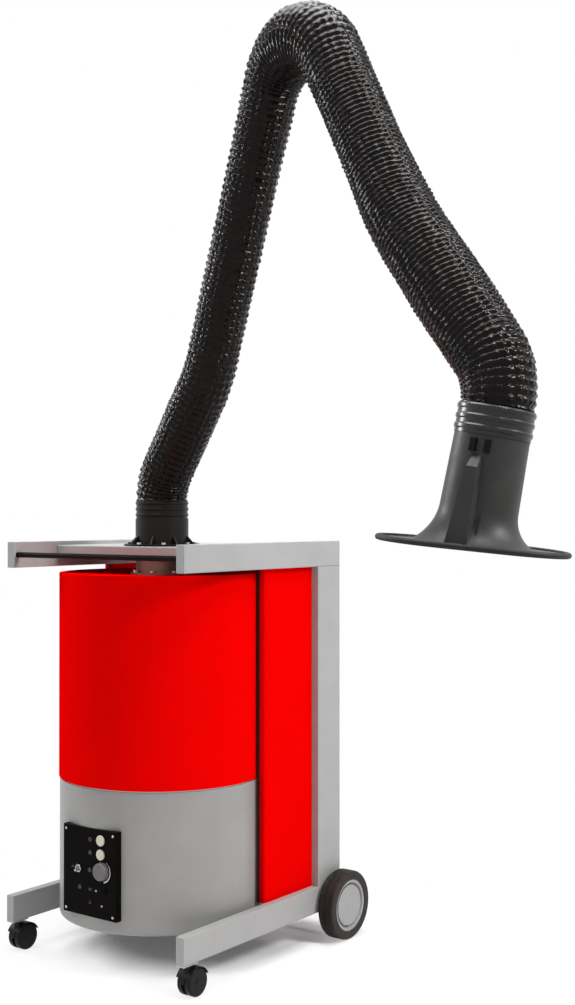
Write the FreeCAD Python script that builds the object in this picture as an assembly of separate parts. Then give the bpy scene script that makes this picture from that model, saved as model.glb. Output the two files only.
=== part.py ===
import FreeCAD, Part
import math
import os

V = FreeCAD.Vector
ORIGIN = V(0, 0, 0)
X_AXIS = V(1, 0, 0)
Y_AXIS = V(0, 1, 0)
Z_AXIS = V(0, 0, 1)

# The frame of the model: millimetres, Z up, front towards -Y, origin on the floor under the drum's axis.

# Clearances
RUN_FIT = 0.05  # radial, for pins, shafts and spigots that turn
PART_GAP = 0.3  # between faces that move past each other
BOLT_FIT = 0.2  # radial, for bolts in their holes

# Side frames of box section
FRAME_WIDTH = 720.0
FRAME_FRONT = 310.0
FRAME_REAR = 452.0
FRAME_TOP = 1260.0
FRAME_CLEARANCE = 94.0
BEAM_HEIGHT = 80.0
BEAM_WIDTH = 30.0
BEAM_WALL = 2.5
BEAM_EDGE = 2.5
END_CAP = 4.0
POST_DEPTH = 120.0

# Handle bar and top plate
HANDLE_RADIUS = 8.5
HANDLE_SETBACK = 15.0
PLATE_SETBACK = 182.0
PLATE_DROP = 13.0
PLATE_LIP = 30.0
PLATE_SHEET = 3.0

# Drum
DRUM_SIDE_GAP = 15.0
DRUM_STEP = 3.0
DRUM_SHEET = 2.0
DRUM_BOTTOM = 130.0
DRUM_SEAM = 545.0
DUCT_RISE = 100.0
SEAM_PLATE = 4.0
SEAM_RECESS = 3.0
DRUM_TOP_EDGE = 4.0
DRUM_BOTTOM_EDGE = 10.0
CROSS_BAR_WIDTH = 40.0
CROSS_BAR_HEIGHT = 30.0
CROSS_BAR_FRONT = -20.0
CROSS_BAR_REAR = 240.0

# Red side panels
PANEL_INSET = 25.0
PANEL_FRONT = 88.0
PANEL_SHEET = 1.5
PANEL_BEND = 8.0
PANEL_DRUM_GAP = 2.0

# Air inlet, filter and fan inside the drum
DUCT_RADIUS = 80.0
DUCT_WALL = 4.0
DUCT_FLANGE_RADIUS = 97.0
DUCT_FLANGE = 6.0
DUCT_BOLT_CIRCLE = 88.5
FILTER_CORE_RADIUS = 140.0
FILTER_PLEAT_RADIUS = 225.0
FILTER_PLEAT_DEPTH = 40.0
FILTER_PLEATS = 40
FILTER_CAP = 12.0
FILTER_CAP_OVERHANG = 7.0
FILTER_HEADROOM = 38.0
NOZZLE_RADIUS = 105.0
NOZZLE_MOUTH_RADIUS = 135.0
NOZZLE_DEPTH = 85.0
IMPELLER_RADIUS = 205.0
IMPELLER_HEIGHT = 60.0
IMPELLER_SHEET = 3.0
IMPELLER_BLADES = 9
IMPELLER_GAP = 16.0
BLADE_CURVE = 150.0
SHAFT_RADIUS = 12.0
HUB_RADIUS = 28.0
MOTOR_RADIUS = 82.0
MOTOR_HEIGHT = 175.0
MOTOR_FOOT_RADIUS = 115.0
MOTOR_FOOT = 8.0
SHAFT_SEAT = 45.0
SLOT_LENGTH = 44.0
SLOT_WIDTH = 10.0
SLOT_ROWS = 6
SLOT_ROW_PITCH = 24.0
SLOT_COLUMNS = 5
SLOT_COLUMN_ANGLE = 13.0
SLOT_TOP = 300.0
GLAND_ANGLE = 128.0
GLAND_HEIGHT = 200.0
GLAND_RADIUS = 12.0
GLAND_LENGTH = 26.0

# Control box
BOX_WIDTH = 214.0
BOX_HEIGHT = 258.0
BOX_CENTRE = 301.0
BOX_PROUD = 3.0
BOX_WALL = 4.0
BOX_EDGE = 2.0
TRAY_MARGIN = 19.0
TRAY_MARGIN_HIGH = 7.0
TRAY_WALL = 2.0
TRAY_DEPTH = 60.0
BOARD_DEPTH = 32.0
BOARD_SHEET = 1.6
BUTTON_RADIUS = 15.5
BUTTON_PROUD = 4.5
BUTTON_PLACES = ((46.0, 98.0), (46.0, 57.0))
BUTTON_COLLAR = 3.0
BUTTON_COLLAR_SHEET = 2.0
KNOB_PLACE = (52.0, 10.0)
KNOB_RADIUS = 26.5
KNOB_DEPTH = 15.0
KNOB_TAPER = 2.0
KNOB_FLUTES = 18
KNOB_FLUTE_RADIUS = 2.0
KNOB_SHAFT_RADIUS = 4.0
POT_RADIUS = 13.0
POT_SEAT = 5.0
TOGGLE_PLACE = (-42.0, 6.0)
TOGGLE_NUT_RADIUS = 12.5
TOGGLE_NUT_DEPTH = 5.0
TOGGLE_BALL_RADIUS = 5.0
TOGGLE_LENGTH = 20.0
TOGGLE_TIP_RADIUS = 4.0
TOGGLE_NECK_RADIUS = 3.0
TOGGLE_THROW = 12.0
LAMP_PLACES = ((28.0, -50.0), (51.0, -91.0))
LAMP_RADIUS = 3.0
LAMP_PROUD = 2.0
BUZZER_PLACE = (60.0, -45.0)
BUZZER_RADIUS = 11.0
BUZZER_PROUD = 2.5
SCREW_INSET = 12.5
SCREW_HEAD_RADIUS = 4.0
SCREW_HEAD = 2.2
SCREW_RADIUS = 2.0
SCREW_LENGTH = 8.0

# Rear wheels
WHEEL_RADIUS = 107.0
WHEEL_WIDTH = 55.0
WHEEL_GAP = 8.5
WHEEL_SETBACK = 31.0
RIM_RADIUS = 80.0
RIM_INSET = 3.5
RIM_RECESS_RADIUS = 67.0
RIM_RECESS = 12.0
RIM_HUB_RADIUS = 22.0
RIM_HUB = 7.0
TYRE_SHOULDER = 9.0
TREAD_GROOVES = 7
TREAD_GROOVE = 2.0
AXLE_RADIUS = 10.0
AXLE_CAP_RADIUS = 63.0
AXLE_CAP = 3.0
SPACER_RADIUS = 16.0

# Front castors
CASTOR_RADIUS = 40.0
CASTOR_WIDTH = 50.0
CASTOR_TRAIL = 22.0
CASTOR_SETBACK = 31.0
CASTOR_WEB = 10.0
CASTOR_HOOD = 2.0
CASTOR_HOOD_RISE = 17.0
CASTOR_HOOD_GAP = 1.5
CASTOR_SIDE_GAP = 1.0
CASTOR_EDGE = 5.0
CASTOR_AXLE_RADIUS = 5.0
CASTOR_HUB_RADIUS = 9.0
CASTOR_HUB = 1.5
CASTOR_PLATE = 3.0
CASTOR_PLATE_LENGTH = 60.0
CASTOR_BOSS_RADIUS = 12.0
CASTOR_STEM_RADIUS = 5.0
CASTOR_STEM_REACH = 8.0

# Arm base
ARM_AZIMUTH = -19.34  # degrees about Z, from +X towards the front
BASE_FLANGE_RADIUS = 117.0
BASE_FLANGE = 6.0
BASE_BOLT_CIRCLE = 104.0
BASE_BOLTS = 8
COLLAR_RADIUS = 82.0
COLLAR_WALL = 6.0
COLLAR_HEIGHT = 49.0
GUSSETS = 8
GUSSET_REACH = 24.0
GUSSET_HEIGHT = 26.0
GUSSET_SHEET = 5.0
SWIVEL_HEIGHT = 29.0
SWIVEL_SPIGOT = 30.0
SWIVEL_WALL = 6.0
CUFF_HEIGHT = 54.0
CUFF_RING = 2.5
CUFF_RINGS = 3
BOLT_RADIUS = 4.0
BOLT_HEAD_RADIUS = 7.0
BOLT_HEAD = 5.5

# Arm links and pins inside the hose
PIVOT_RISE = 66.0
LOWER_ARM = 1473.4
LOWER_LEAN = 29.92
UPPER_ARM = 1277.4
UPPER_DROP = 38.72
LINK_WIDTH = 24.0
LINK_THICKNESS = 18.0
LINK_EDGE = 3.0
LINK_END_GAP = 6.0
EYE_RADIUS = 20.0
EYE_THICKNESS = 20.0
FORK_SHEET = 6.0
FORK_BRIDGE = 36.0
FORK_BAR = 12.0
PIN_RADIUS = 8.0
PIN_HEAD_RADIUS = 12.0
PIN_HEAD = 3.0

# Hose: bend radii at its corners, rib form, and swelling given as (share of its length, crest radius)
HOSE_SPLIT_SHARES = (0.1983, 0.4138, 0.6293, 0.9483)
HOSE_RIB_COUNTS = (26, 30, 33, 59, 10)
HOSE_START_RISE = 57.0
HOSE_BOW_ALONG = 470.0
HOSE_BOW_OUT = 55.0
HOSE_CROWN = 142.0
HOSE_CROWN_ALONG = 2.0
HOSE_EASE_ALONG = 745.0
HOSE_EASE_IN = 21.0
HOSE_START_BEND = 140.0
HOSE_BOW_BEND = 400.0
HOSE_ELBOW_BEND = 162.0
HOSE_EASE_BEND = 800.0
HOSE_HOOD_BEND = 160.0
HOSE_RADII = ((0.0, 80.0), (0.121, 80.0), (0.19, 76.0), (0.397, 76.0), (0.467, 79.0), (0.503, 90.0),
              (0.526, 97.0), (0.56, 92.0), (0.589, 85.0), (0.638, 83.0), (0.705, 82.5), (0.775, 88.5),
              (0.845, 91.0), (0.892, 92.0), (0.939, 88.5), (0.984, 84.0), (1.0, 82.0))
HOSE_RIB_DEPTH = 4.0
HOSE_WALL = 3.0
RIB_STEPS = ((0.0, 1.0), (0.35, 0.0), (0.65, 0.0))  # share of the pitch, share of the depth

# Hood
HOOD_LEAN = 7.69
HOOD_ROLL = 6.9
HOOD_SKEW = 4.5  # degrees between the neck's square plane and the flange
HOOD_TURN = 47.3
HOOD_REACH = 383.0
HOOD_LENGTH = 244.0
HOOD_CUFF_LENGTH = 66.0
HOOD_CUFF_RADIUS = 84.0
HOOD_CUFF_WALL = 8.0
HOOD_SPIGOT = 40.0
HOOD_NECK_RADIUS = 82.5
HOOD_NECK_BASE_RADIUS = 86.0
HOOD_FLARE_HEIGHT = 88.0
HOOD_FLARE_RADIUS = 136.0
HOOD_FLARE_RINGS = 8
HOOD_WALL = 3.0
HOOD_FLANGE_TOP = 6.0
HOOD_RIM_LENGTH = 427.0
HOOD_RIM_WIDTH = 300.0
HOOD_RIM_RADIUS = 6.5
HOOD_RIM_GRIP = 4.5
GRIP_ANGLE = -16.0
GRIP_TOP = 201.0
GRIP_SHOULDER = 173.0
GRIP_TOP_WIDTH = 20.0
GRIP_BASE_WIDTH = 52.0
GRIP_SHOULDER_REACH = 112.0
GRIP_BASE_REACH = 130.0
GRIP_RIB_SHEET = 4.0
GRIP_RIB_GAP = 4.0
GRIP_RIB_HEIGHT = 70.0
GRIP_RIB_REACH = 116.0
GRIP_FOOT_DEPTH = 20.0
LATCH_ANGLES = (-25.0, -4.0)
LATCH_WIDTH = 14.0
LATCH_HEIGHT = 28.0
LATCH_PROUD = 5.0
LATCH_DROP = 10.0
LATCH_GROOVE = 8.0

# Places worked out from the driving dimensions
OUTER_X = FRAME_WIDTH / 2
INNER_X = OUTER_X - BEAM_WIDTH
TOP_BEAM_Z = FRAME_TOP - BEAM_HEIGHT
BASE_TOP = FRAME_CLEARANCE + BEAM_HEIGHT
POST_FRONT = FRAME_REAR - POST_DEPTH
PLATE_TOP = FRAME_TOP - PLATE_DROP
FILTER_RADIUS = INNER_X - DRUM_SIDE_GAP
FAN_RADIUS = FILTER_RADIUS - DRUM_STEP
DRUM_TOP = FRAME_TOP - DUCT_RISE
SEAM_LOW = DRUM_SEAM - SEAM_PLATE / 2
SEAM_HIGH = DRUM_SEAM + SEAM_PLATE / 2
FILTER_HEIGHT = DRUM_TOP - SEAM_HIGH - FILTER_HEADROOM
AXLE_Y = FRAME_REAR - WHEEL_SETBACK
CASTOR_X = (OUTER_X + INNER_X) / 2
STEM_Y = -FRAME_FRONT + CASTOR_SETBACK
BOX_FACE = -FAN_RADIUS - BOX_PROUD
BOARD_Y = BOX_FACE + BOARD_DEPTH
COLLAR_TOP = PLATE_TOP + BASE_FLANGE + COLLAR_HEIGHT
PIVOT_HEIGHT = COLLAR_TOP + PIVOT_RISE
SWIVEL_TOP = COLLAR_TOP + PART_GAP + SWIVEL_HEIGHT
CUFF_TOP = SWIVEL_TOP + CUFF_HEIGHT
SWIVEL_SPIGOT_RADIUS = COLLAR_RADIUS - COLLAR_WALL - RUN_FIT
SWIVEL_BORE = SWIVEL_SPIGOT_RADIUS - SWIVEL_WALL
EAR_INNER = EYE_THICKNESS / 2 + PART_GAP
EAR_OUTER = EAR_INNER + FORK_SHEET
NOZZLE_END = SEAM_LOW - NOZZLE_DEPTH
IMPELLER_TOP = NOZZLE_END - IMPELLER_GAP
IMPELLER_BASE = IMPELLER_TOP - IMPELLER_HEIGHT


# General shapes

def block(x0, x1, y0, y1, z0, z1):
    """Box between two corners."""
    return Part.makeBox(x1 - x0, y1 - y0, z1 - z0, V(x0, y0, z0))


def rod(radius, start, direction, length):
    """Round bar from a start point."""
    return Part.makeCylinder(radius, length, start, direction)


def upright(radius, z0, z1, x=0.0, y=0.0):
    """Round bar standing on Z."""
    return rod(radius, V(x, y, z0), Z_AXIS, z1 - z0)


def face_of(edges):
    """Flat face inside a closed run of edges."""
    return Part.Face(Part.Wire(edges))


def polygon_face(corners):
    """Flat face inside a closed polygon."""
    return Part.Face(Part.makePolygon(list(corners) + [corners[0]]))


def turned(outline):
    """Solid of revolution about Z from (radius, height) corners."""
    return polygon_face([V(r, 0, z) for r, z in outline]).revolve(ORIGIN, Z_AXIS, 360)


def edges_along(shape, direction):
    """Straight edges of a shape that run along a direction."""
    straight = [edge for edge in shape.Edges if edge.Curve.TypeId == "Part::GeomLine"]
    return [edge for edge in straight if abs(edge.Curve.Direction.dot(direction)) > 0.999]


def edges_at(shape, test):
    """Edges whose points all pass a test."""
    return [edge for edge in shape.Edges if all(test(point) for point in edge.discretize(5))]


def mirrored(shape):
    """The same piece on the other side of the object."""
    return shape.mirror(ORIGIN, X_AXIS)


def turned_copies(shape, count, first=0.0):
    """Copies of a shape spread evenly round Z."""
    copies = []
    for index in range(count):
        copy = shape.copy()
        copy.rotate(ORIGIN, Z_AXIS, first + 360.0 * index / count)
        copies.append(copy)
    return copies


def ring_places(radius, count, first=0.0):
    """Points spread evenly on a circle round Z."""
    angles = [math.radians(first + 360.0 * index / count) for index in range(count)]
    return [(radius * math.cos(angle), radius * math.sin(angle)) for angle in angles]


def fused(shapes):
    """One solid from touching shapes."""
    return shapes[0].fuse(shapes[1:]).removeSplitter()


# Frame

def beam(side, z0):
    """Box section along Y, open at its ends for the caps."""
    x0, x1 = sorted((side * INNER_X, side * OUTER_X))
    y0 = -FRAME_FRONT + END_CAP
    y1 = FRAME_REAR - END_CAP
    outer = block(x0, x1, y0, y1, z0, z0 + BEAM_HEIGHT)
    outer = outer.makeFillet(BEAM_EDGE, edges_along(outer, Y_AXIS))
    inner = block(x0 + BEAM_WALL, x1 - BEAM_WALL, y0, y1, z0 + BEAM_WALL, z0 + BEAM_HEIGHT - BEAM_WALL)
    return outer.cut(inner)


def base_beam(side):
    """Lower beam with holes for the axle and the castor's stem."""
    axle_hole = rod(AXLE_RADIUS + RUN_FIT, V(-OUTER_X, AXLE_Y, WHEEL_RADIUS), X_AXIS, FRAME_WIDTH)
    stem_hole = upright(CASTOR_STEM_RADIUS + PART_GAP, FRAME_CLEARANCE, FRAME_CLEARANCE + BEAM_WALL,
                        side * CASTOR_X, STEM_Y)
    return beam(side, FRAME_CLEARANCE).cut([axle_hole, stem_hole])


def post(side):
    """Rear post between the two beams."""
    x0, x1 = sorted((side * INNER_X, side * OUTER_X))
    outer = block(x0, x1, POST_FRONT, FRAME_REAR, BASE_TOP, TOP_BEAM_Z)
    outer = outer.makeFillet(BEAM_EDGE, edges_along(outer, Z_AXIS))
    inner = block(x0 + BEAM_WALL, x1 - BEAM_WALL, POST_FRONT + BEAM_WALL, FRAME_REAR - BEAM_WALL,
                  BASE_TOP, TOP_BEAM_Z)
    return outer.cut(inner)


def end_cap(side, z0, front):
    """Closing plate of a beam with a rounded outer face."""
    x0, x1 = sorted((side * INNER_X, side * OUTER_X))
    y0 = -FRAME_FRONT if front else FRAME_REAR - END_CAP
    outer_y = -FRAME_FRONT if front else FRAME_REAR
    cap = block(x0, x1, y0, y0 + END_CAP, z0, z0 + BEAM_HEIGHT)
    cap = cap.makeFillet(BEAM_EDGE, edges_along(cap, Y_AXIS))
    return cap.makeFillet(BEAM_EDGE * 0.8, edges_at(cap, lambda p: abs(p.y - outer_y) < 1e-6))


def end_caps():
    """The eight closed beam ends."""
    caps = []
    for side in (-1, 1):
        for z0 in (FRAME_CLEARANCE, TOP_BEAM_Z):
            caps += [end_cap(side, z0, True), end_cap(side, z0, False)]
    return Part.makeCompound(caps)


def handle_bar():
    """Push bar between the front ends of the top beams."""
    start = V(-INNER_X, -FRAME_FRONT + HANDLE_SETBACK, FRAME_TOP - BEAM_HEIGHT / 2)
    return rod(HANDLE_RADIUS, start, X_AXIS, 2 * INNER_X)


def top_plate():
    """Folded sheet between the top beams, with the duct's hole and the arm's bolt holes."""
    y0 = -FRAME_FRONT + PLATE_SETBACK
    outer = block(-INNER_X, INNER_X, y0, FRAME_REAR, PLATE_TOP - PLATE_LIP, PLATE_TOP)
    front_top = edges_at(outer, lambda p: p.y < y0 + 1e-6 and p.z > PLATE_TOP - 1e-6)
    outer = outer.makeFillet(PLATE_SHEET, front_top)
    inner = block(-INNER_X + PLATE_SHEET, INNER_X - PLATE_SHEET, y0 + PLATE_SHEET, FRAME_REAR - PLATE_SHEET,
                  PLATE_TOP - PLATE_LIP, PLATE_TOP - PLATE_SHEET)
    holes = [upright(DUCT_RADIUS - DUCT_WALL, PLATE_TOP - PLATE_SHEET, PLATE_TOP)]
    for x, y in ring_places(BASE_BOLT_CIRCLE, BASE_BOLTS):
        holes.append(upright(BOLT_RADIUS + BOLT_FIT, PLATE_TOP - PLATE_SHEET, PLATE_TOP, x, y))
    return outer.cut([inner] + holes)


def cross_bars():
    """Two bars between the base beams that carry the drum."""
    z0 = DRUM_BOTTOM - CROSS_BAR_HEIGHT
    half = CROSS_BAR_WIDTH / 2
    centres = (CROSS_BAR_FRONT, CROSS_BAR_REAR)
    return Part.makeCompound([block(-INNER_X, INNER_X, y - half, y + half, z0, DRUM_BOTTOM) for y in centres])


def side_panel():
    """Folded red sheet from the post to beside the drum, with a rounded front edge."""
    face = OUTER_X - PANEL_INSET
    inner_edge = math.sqrt(FILTER_RADIUS ** 2 - PANEL_FRONT ** 2) + PANEL_DRUM_GAP
    outer = block(inner_edge, face, PANEL_FRONT, POST_FRONT, BASE_TOP, TOP_BEAM_Z)
    fold = edges_at(outer, lambda p: p.x > face - 1e-6 and p.y < PANEL_FRONT + 1e-6)
    outer = outer.makeFillet(PANEL_BEND, fold)
    x1 = face - PANEL_SHEET
    y0 = PANEL_FRONT + PANEL_SHEET
    inner = block(inner_edge, x1, y0, POST_FRONT, BASE_TOP, TOP_BEAM_Z)
    inner_fold = edges_at(inner, lambda p: p.x > x1 - 1e-6 and p.y < y0 + 1e-6)
    inner = inner.makeFillet(PANEL_BEND - PANEL_SHEET, inner_fold)
    return outer.cut(inner)


# Drum

def duct_bolt_places():
    """Bolt places of the inlet duct's flange."""
    return ring_places(DUCT_BOLT_CIRCLE, BASE_BOLTS, 180.0 / BASE_BOLTS)


def filter_housing():
    """Upper drum: a thin shell with a rounded top edge and the duct's hole."""
    outer = upright(FILTER_RADIUS, SEAM_HIGH, DRUM_TOP)
    outer = outer.makeFillet(DRUM_TOP_EDGE, edges_at(outer, lambda p: p.z > DRUM_TOP - 1e-6))
    inner = upright(FILTER_RADIUS - DRUM_SHEET, SEAM_HIGH, DRUM_TOP - DRUM_SHEET)
    inner_edge = edges_at(inner, lambda p: p.z > DRUM_TOP - DRUM_SHEET - 1e-6)
    inner = inner.makeFillet(DRUM_TOP_EDGE - DRUM_SHEET, inner_edge)
    holes = [upright(DUCT_RADIUS - DUCT_WALL, DRUM_TOP - DRUM_SHEET, DRUM_TOP)]
    for x, y in duct_bolt_places():
        holes.append(upright(BOLT_RADIUS + BOLT_FIT, DRUM_TOP - DRUM_SHEET, DRUM_TOP, x, y))
    return outer.cut([inner] + holes)


def exhaust_slot():
    """Cutter for one round-ended outlet slot at the back of the drum."""
    straight = (SLOT_LENGTH - SLOT_WIDTH) / 2
    y0 = FAN_RADIUS - 4 * DRUM_SHEET
    depth = 8 * DRUM_SHEET
    ends = [rod(SLOT_WIDTH / 2, V(x, y0, 0), Y_AXIS, depth) for x in (-straight, straight)]
    middle = block(-straight, straight, y0, y0 + depth, -SLOT_WIDTH / 2, SLOT_WIDTH / 2)
    return middle.fuse(ends)


def exhaust_slots():
    """Cutters for the clean air outlet, in rows and columns round the back."""
    cutters = []
    for row in range(SLOT_ROWS):
        for column in range(SLOT_COLUMNS):
            cutter = exhaust_slot()
            cutter.translate(V(0, 0, SLOT_TOP - row * SLOT_ROW_PITCH))
            cutter.rotate(ORIGIN, Z_AXIS, (column - (SLOT_COLUMNS - 1) / 2) * SLOT_COLUMN_ANGLE)
            cutters.append(cutter)
    return cutters


def gland_axis():
    """Outward direction of the cable gland at the back of the drum."""
    angle = math.radians(GLAND_ANGLE)
    return V(math.cos(angle), math.sin(angle), 0)


def fan_housing():
    """Lower drum: shell with closed bottom, control window, outlet slots and gland hole."""
    outer = upright(FAN_RADIUS, DRUM_BOTTOM, SEAM_LOW)
    outer = outer.makeFillet(DRUM_BOTTOM_EDGE, edges_at(outer, lambda p: p.z < DRUM_BOTTOM + 1e-6))
    floor = DRUM_BOTTOM + DRUM_SHEET
    inner = upright(FAN_RADIUS - DRUM_SHEET, floor, SEAM_LOW)
    inner = inner.makeFillet(DRUM_BOTTOM_EDGE - DRUM_SHEET, edges_at(inner, lambda p: p.z < floor + 1e-6))
    half_width = BOX_WIDTH / 2 - TRAY_MARGIN + PART_GAP
    half_height = BOX_HEIGHT / 2 - TRAY_MARGIN_HIGH + PART_GAP
    window = block(-half_width, half_width, BOX_FACE, BOX_FACE + TRAY_DEPTH,
                   BOX_CENTRE - half_height, BOX_CENTRE + half_height)
    gland_hole = rod(GLAND_RADIUS * 0.7 + BOLT_FIT, V(0, 0, GLAND_HEIGHT), gland_axis(), FAN_RADIUS * 2)
    return outer.cut([inner, window, gland_hole] + exhaust_slots())


def cable_gland():
    """Screwed cable inlet: spigot through the sheet, hexagon and rounded nut."""
    hexagon = polygon_face([V(x, y, 0) for x, y in ring_places(GLAND_RADIUS * 1.1, 6)])
    body = hexagon.extrude(V(0, 0, GLAND_LENGTH * 0.4))
    nut = upright(GLAND_RADIUS * 0.9, GLAND_LENGTH * 0.4, GLAND_LENGTH)
    nut = nut.makeFillet(GLAND_RADIUS * 0.35, edges_at(nut, lambda p: p.z > GLAND_LENGTH - 1e-6))
    spigot = upright(GLAND_RADIUS * 0.7, -DRUM_SHEET * 3, 0)
    bore = upright(GLAND_RADIUS * 0.4, -DRUM_SHEET * 3, GLAND_LENGTH)
    gland = fused([body, nut, spigot]).cut(bore)
    axis = gland_axis()
    seat = axis * FAN_RADIUS + V(0, 0, GLAND_HEIGHT)
    gland.Placement = FreeCAD.Placement(seat, FreeCAD.Rotation(Z_AXIS, axis))
    return gland


def separator_plate():
    """Plate between the two housings with the fan's bell-mouthed inlet nozzle."""
    edge = FAN_RADIUS - SEAM_RECESS
    bell = (NOZZLE_MOUTH_RADIUS - NOZZLE_RADIUS) * 1.6
    return turned([(NOZZLE_MOUTH_RADIUS, SEAM_HIGH), (edge, SEAM_HIGH), (edge, SEAM_LOW),
                   (NOZZLE_MOUTH_RADIUS + SEAM_PLATE, SEAM_LOW),
                   (NOZZLE_RADIUS + SEAM_PLATE, SEAM_LOW - bell),
                   (NOZZLE_RADIUS + SEAM_PLATE, NOZZLE_END), (NOZZLE_RADIUS, NOZZLE_END),
                   (NOZZLE_RADIUS, SEAM_LOW - bell)])


def filter_cartridge():
    """Pleated cylinder between a ring-shaped lower cap and a closed upper cap."""
    bottom = SEAM_HIGH + FILTER_CAP
    top = SEAM_HIGH + FILTER_HEIGHT - FILTER_CAP
    cap_radius = FILTER_PLEAT_RADIUS + FILTER_CAP_OVERHANG
    crests = ring_places(FILTER_PLEAT_RADIUS, FILTER_PLEATS)
    valleys = ring_places(FILTER_PLEAT_RADIUS - FILTER_PLEAT_DEPTH, FILTER_PLEATS, 180.0 / FILTER_PLEATS)
    star = [V(x, y, bottom) for pair in zip(crests, valleys) for x, y in pair]
    core = upright(FILTER_CORE_RADIUS, SEAM_HIGH, top)
    pleats = polygon_face(star).extrude(V(0, 0, top - bottom)).cut(core)
    lower_cap = upright(cap_radius, SEAM_HIGH, bottom).cut(core)
    upper_cap = upright(cap_radius, top, top + FILTER_CAP)
    return Part.makeCompound([lower_cap, pleats, upper_cap])


def fan_motor():
    """Motor on its foot, with a bearing seat for the impeller's shaft."""
    floor = DRUM_BOTTOM + DRUM_SHEET
    top = floor + MOTOR_FOOT + MOTOR_HEIGHT
    seat = top - SHAFT_SEAT - PART_GAP
    step = MOTOR_RADIUS * 0.55
    return turned([(0, floor), (MOTOR_FOOT_RADIUS, floor), (MOTOR_FOOT_RADIUS, floor + MOTOR_FOOT),
                   (MOTOR_RADIUS, floor + MOTOR_FOOT), (MOTOR_RADIUS, top - MOTOR_FOOT),
                   (step, top - MOTOR_FOOT), (step, top), (SHAFT_RADIUS + RUN_FIT, top),
                   (SHAFT_RADIUS + RUN_FIT, seat), (0, seat)])


def impeller_blade():
    """One backward-curved blade between back plate and shroud."""
    centre_x = (IMPELLER_RADIUS + NOZZLE_RADIUS) / 2
    low = IMPELLER_BASE + IMPELLER_SHEET
    high = IMPELLER_TOP - IMPELLER_SHEET
    bend = upright(BLADE_CURVE + IMPELLER_SHEET, low, high, centre_x, -BLADE_CURVE)
    hollow = upright(BLADE_CURVE, low, high, centre_x, -BLADE_CURVE)
    annulus = upright(IMPELLER_RADIUS, low, high).cut(upright(NOZZLE_RADIUS, low, high))
    near = block(0, IMPELLER_RADIUS, -BLADE_CURVE, BLADE_CURVE, low, high)
    return bend.cut(hollow).common(annulus).common(near)


def fan_impeller():
    """Radial fan wheel with its shaft."""
    shaft_end = DRUM_BOTTOM + DRUM_SHEET + MOTOR_FOOT + MOTOR_HEIGHT - SHAFT_SEAT
    hub_top = IMPELLER_BASE + IMPELLER_HEIGHT * 0.6
    wheel = turned([(0, shaft_end), (SHAFT_RADIUS, shaft_end), (SHAFT_RADIUS, IMPELLER_BASE),
                    (IMPELLER_RADIUS, IMPELLER_BASE), (IMPELLER_RADIUS, IMPELLER_BASE + IMPELLER_SHEET),
                    (HUB_RADIUS, IMPELLER_BASE + IMPELLER_SHEET), (HUB_RADIUS, hub_top), (0, hub_top)])
    shroud = upright(IMPELLER_RADIUS, IMPELLER_TOP - IMPELLER_SHEET, IMPELLER_TOP)
    shroud = shroud.cut(upright(NOZZLE_RADIUS, IMPELLER_TOP - IMPELLER_SHEET, IMPELLER_TOP))
    return fused([wheel, shroud] + turned_copies(impeller_blade(), IMPELLER_BLADES))


def inlet_duct():
    """Tube from the top plate to the drum, with a bolted flange."""
    top = PLATE_TOP - PLATE_SHEET
    bore = DUCT_RADIUS - DUCT_WALL
    duct = turned([(bore, DRUM_TOP), (DUCT_FLANGE_RADIUS, DRUM_TOP),
                   (DUCT_FLANGE_RADIUS, DRUM_TOP + DUCT_FLANGE), (DUCT_RADIUS, DRUM_TOP + DUCT_FLANGE),
                   (DUCT_RADIUS, top), (bore, top)])
    holes = []
    for x, y in duct_bolt_places():
        holes.append(upright(BOLT_RADIUS + BOLT_FIT, DRUM_TOP, DRUM_TOP + DUCT_FLANGE, x, y))
    return duct.cut(holes)


def bolt(x, y, seat, grip):
    """Hexagon bolt whose head sits on a flange."""
    corners = [V(x + dx, y + dy, seat) for dx, dy in ring_places(BOLT_HEAD_RADIUS, 6)]
    head = polygon_face(corners).extrude(V(0, 0, BOLT_HEAD))
    return fused([head, upright(BOLT_RADIUS, seat - grip, seat, x, y)])


def flange_bolts():
    """Bolts of the arm's flange and of the duct's flange."""
    arm_seat = PLATE_TOP + BASE_FLANGE
    duct_seat = DRUM_TOP + DUCT_FLANGE
    arm_places = ring_places(BASE_BOLT_CIRCLE, BASE_BOLTS)
    bolts = [bolt(x, y, arm_seat, BASE_FLANGE + PLATE_SHEET) for x, y in arm_places]
    bolts += [bolt(x, y, duct_seat, DUCT_FLANGE + DRUM_SHEET) for x, y in duct_bolt_places()]
    return Part.makeCompound(bolts)


# Control box

def on_panel(place, y):
    """Point on or behind the panel face from its offset to the panel's centre."""
    return V(place[0], y, BOX_CENTRE + place[1])


def screw_places():
    """Corner screw offsets."""
    x = BOX_WIDTH / 2 - SCREW_INSET
    z = BOX_HEIGHT / 2 - SCREW_INSET
    return [(sx * x, sz * z) for sx in (-1, 1) for sz in (-1, 1)]


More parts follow.
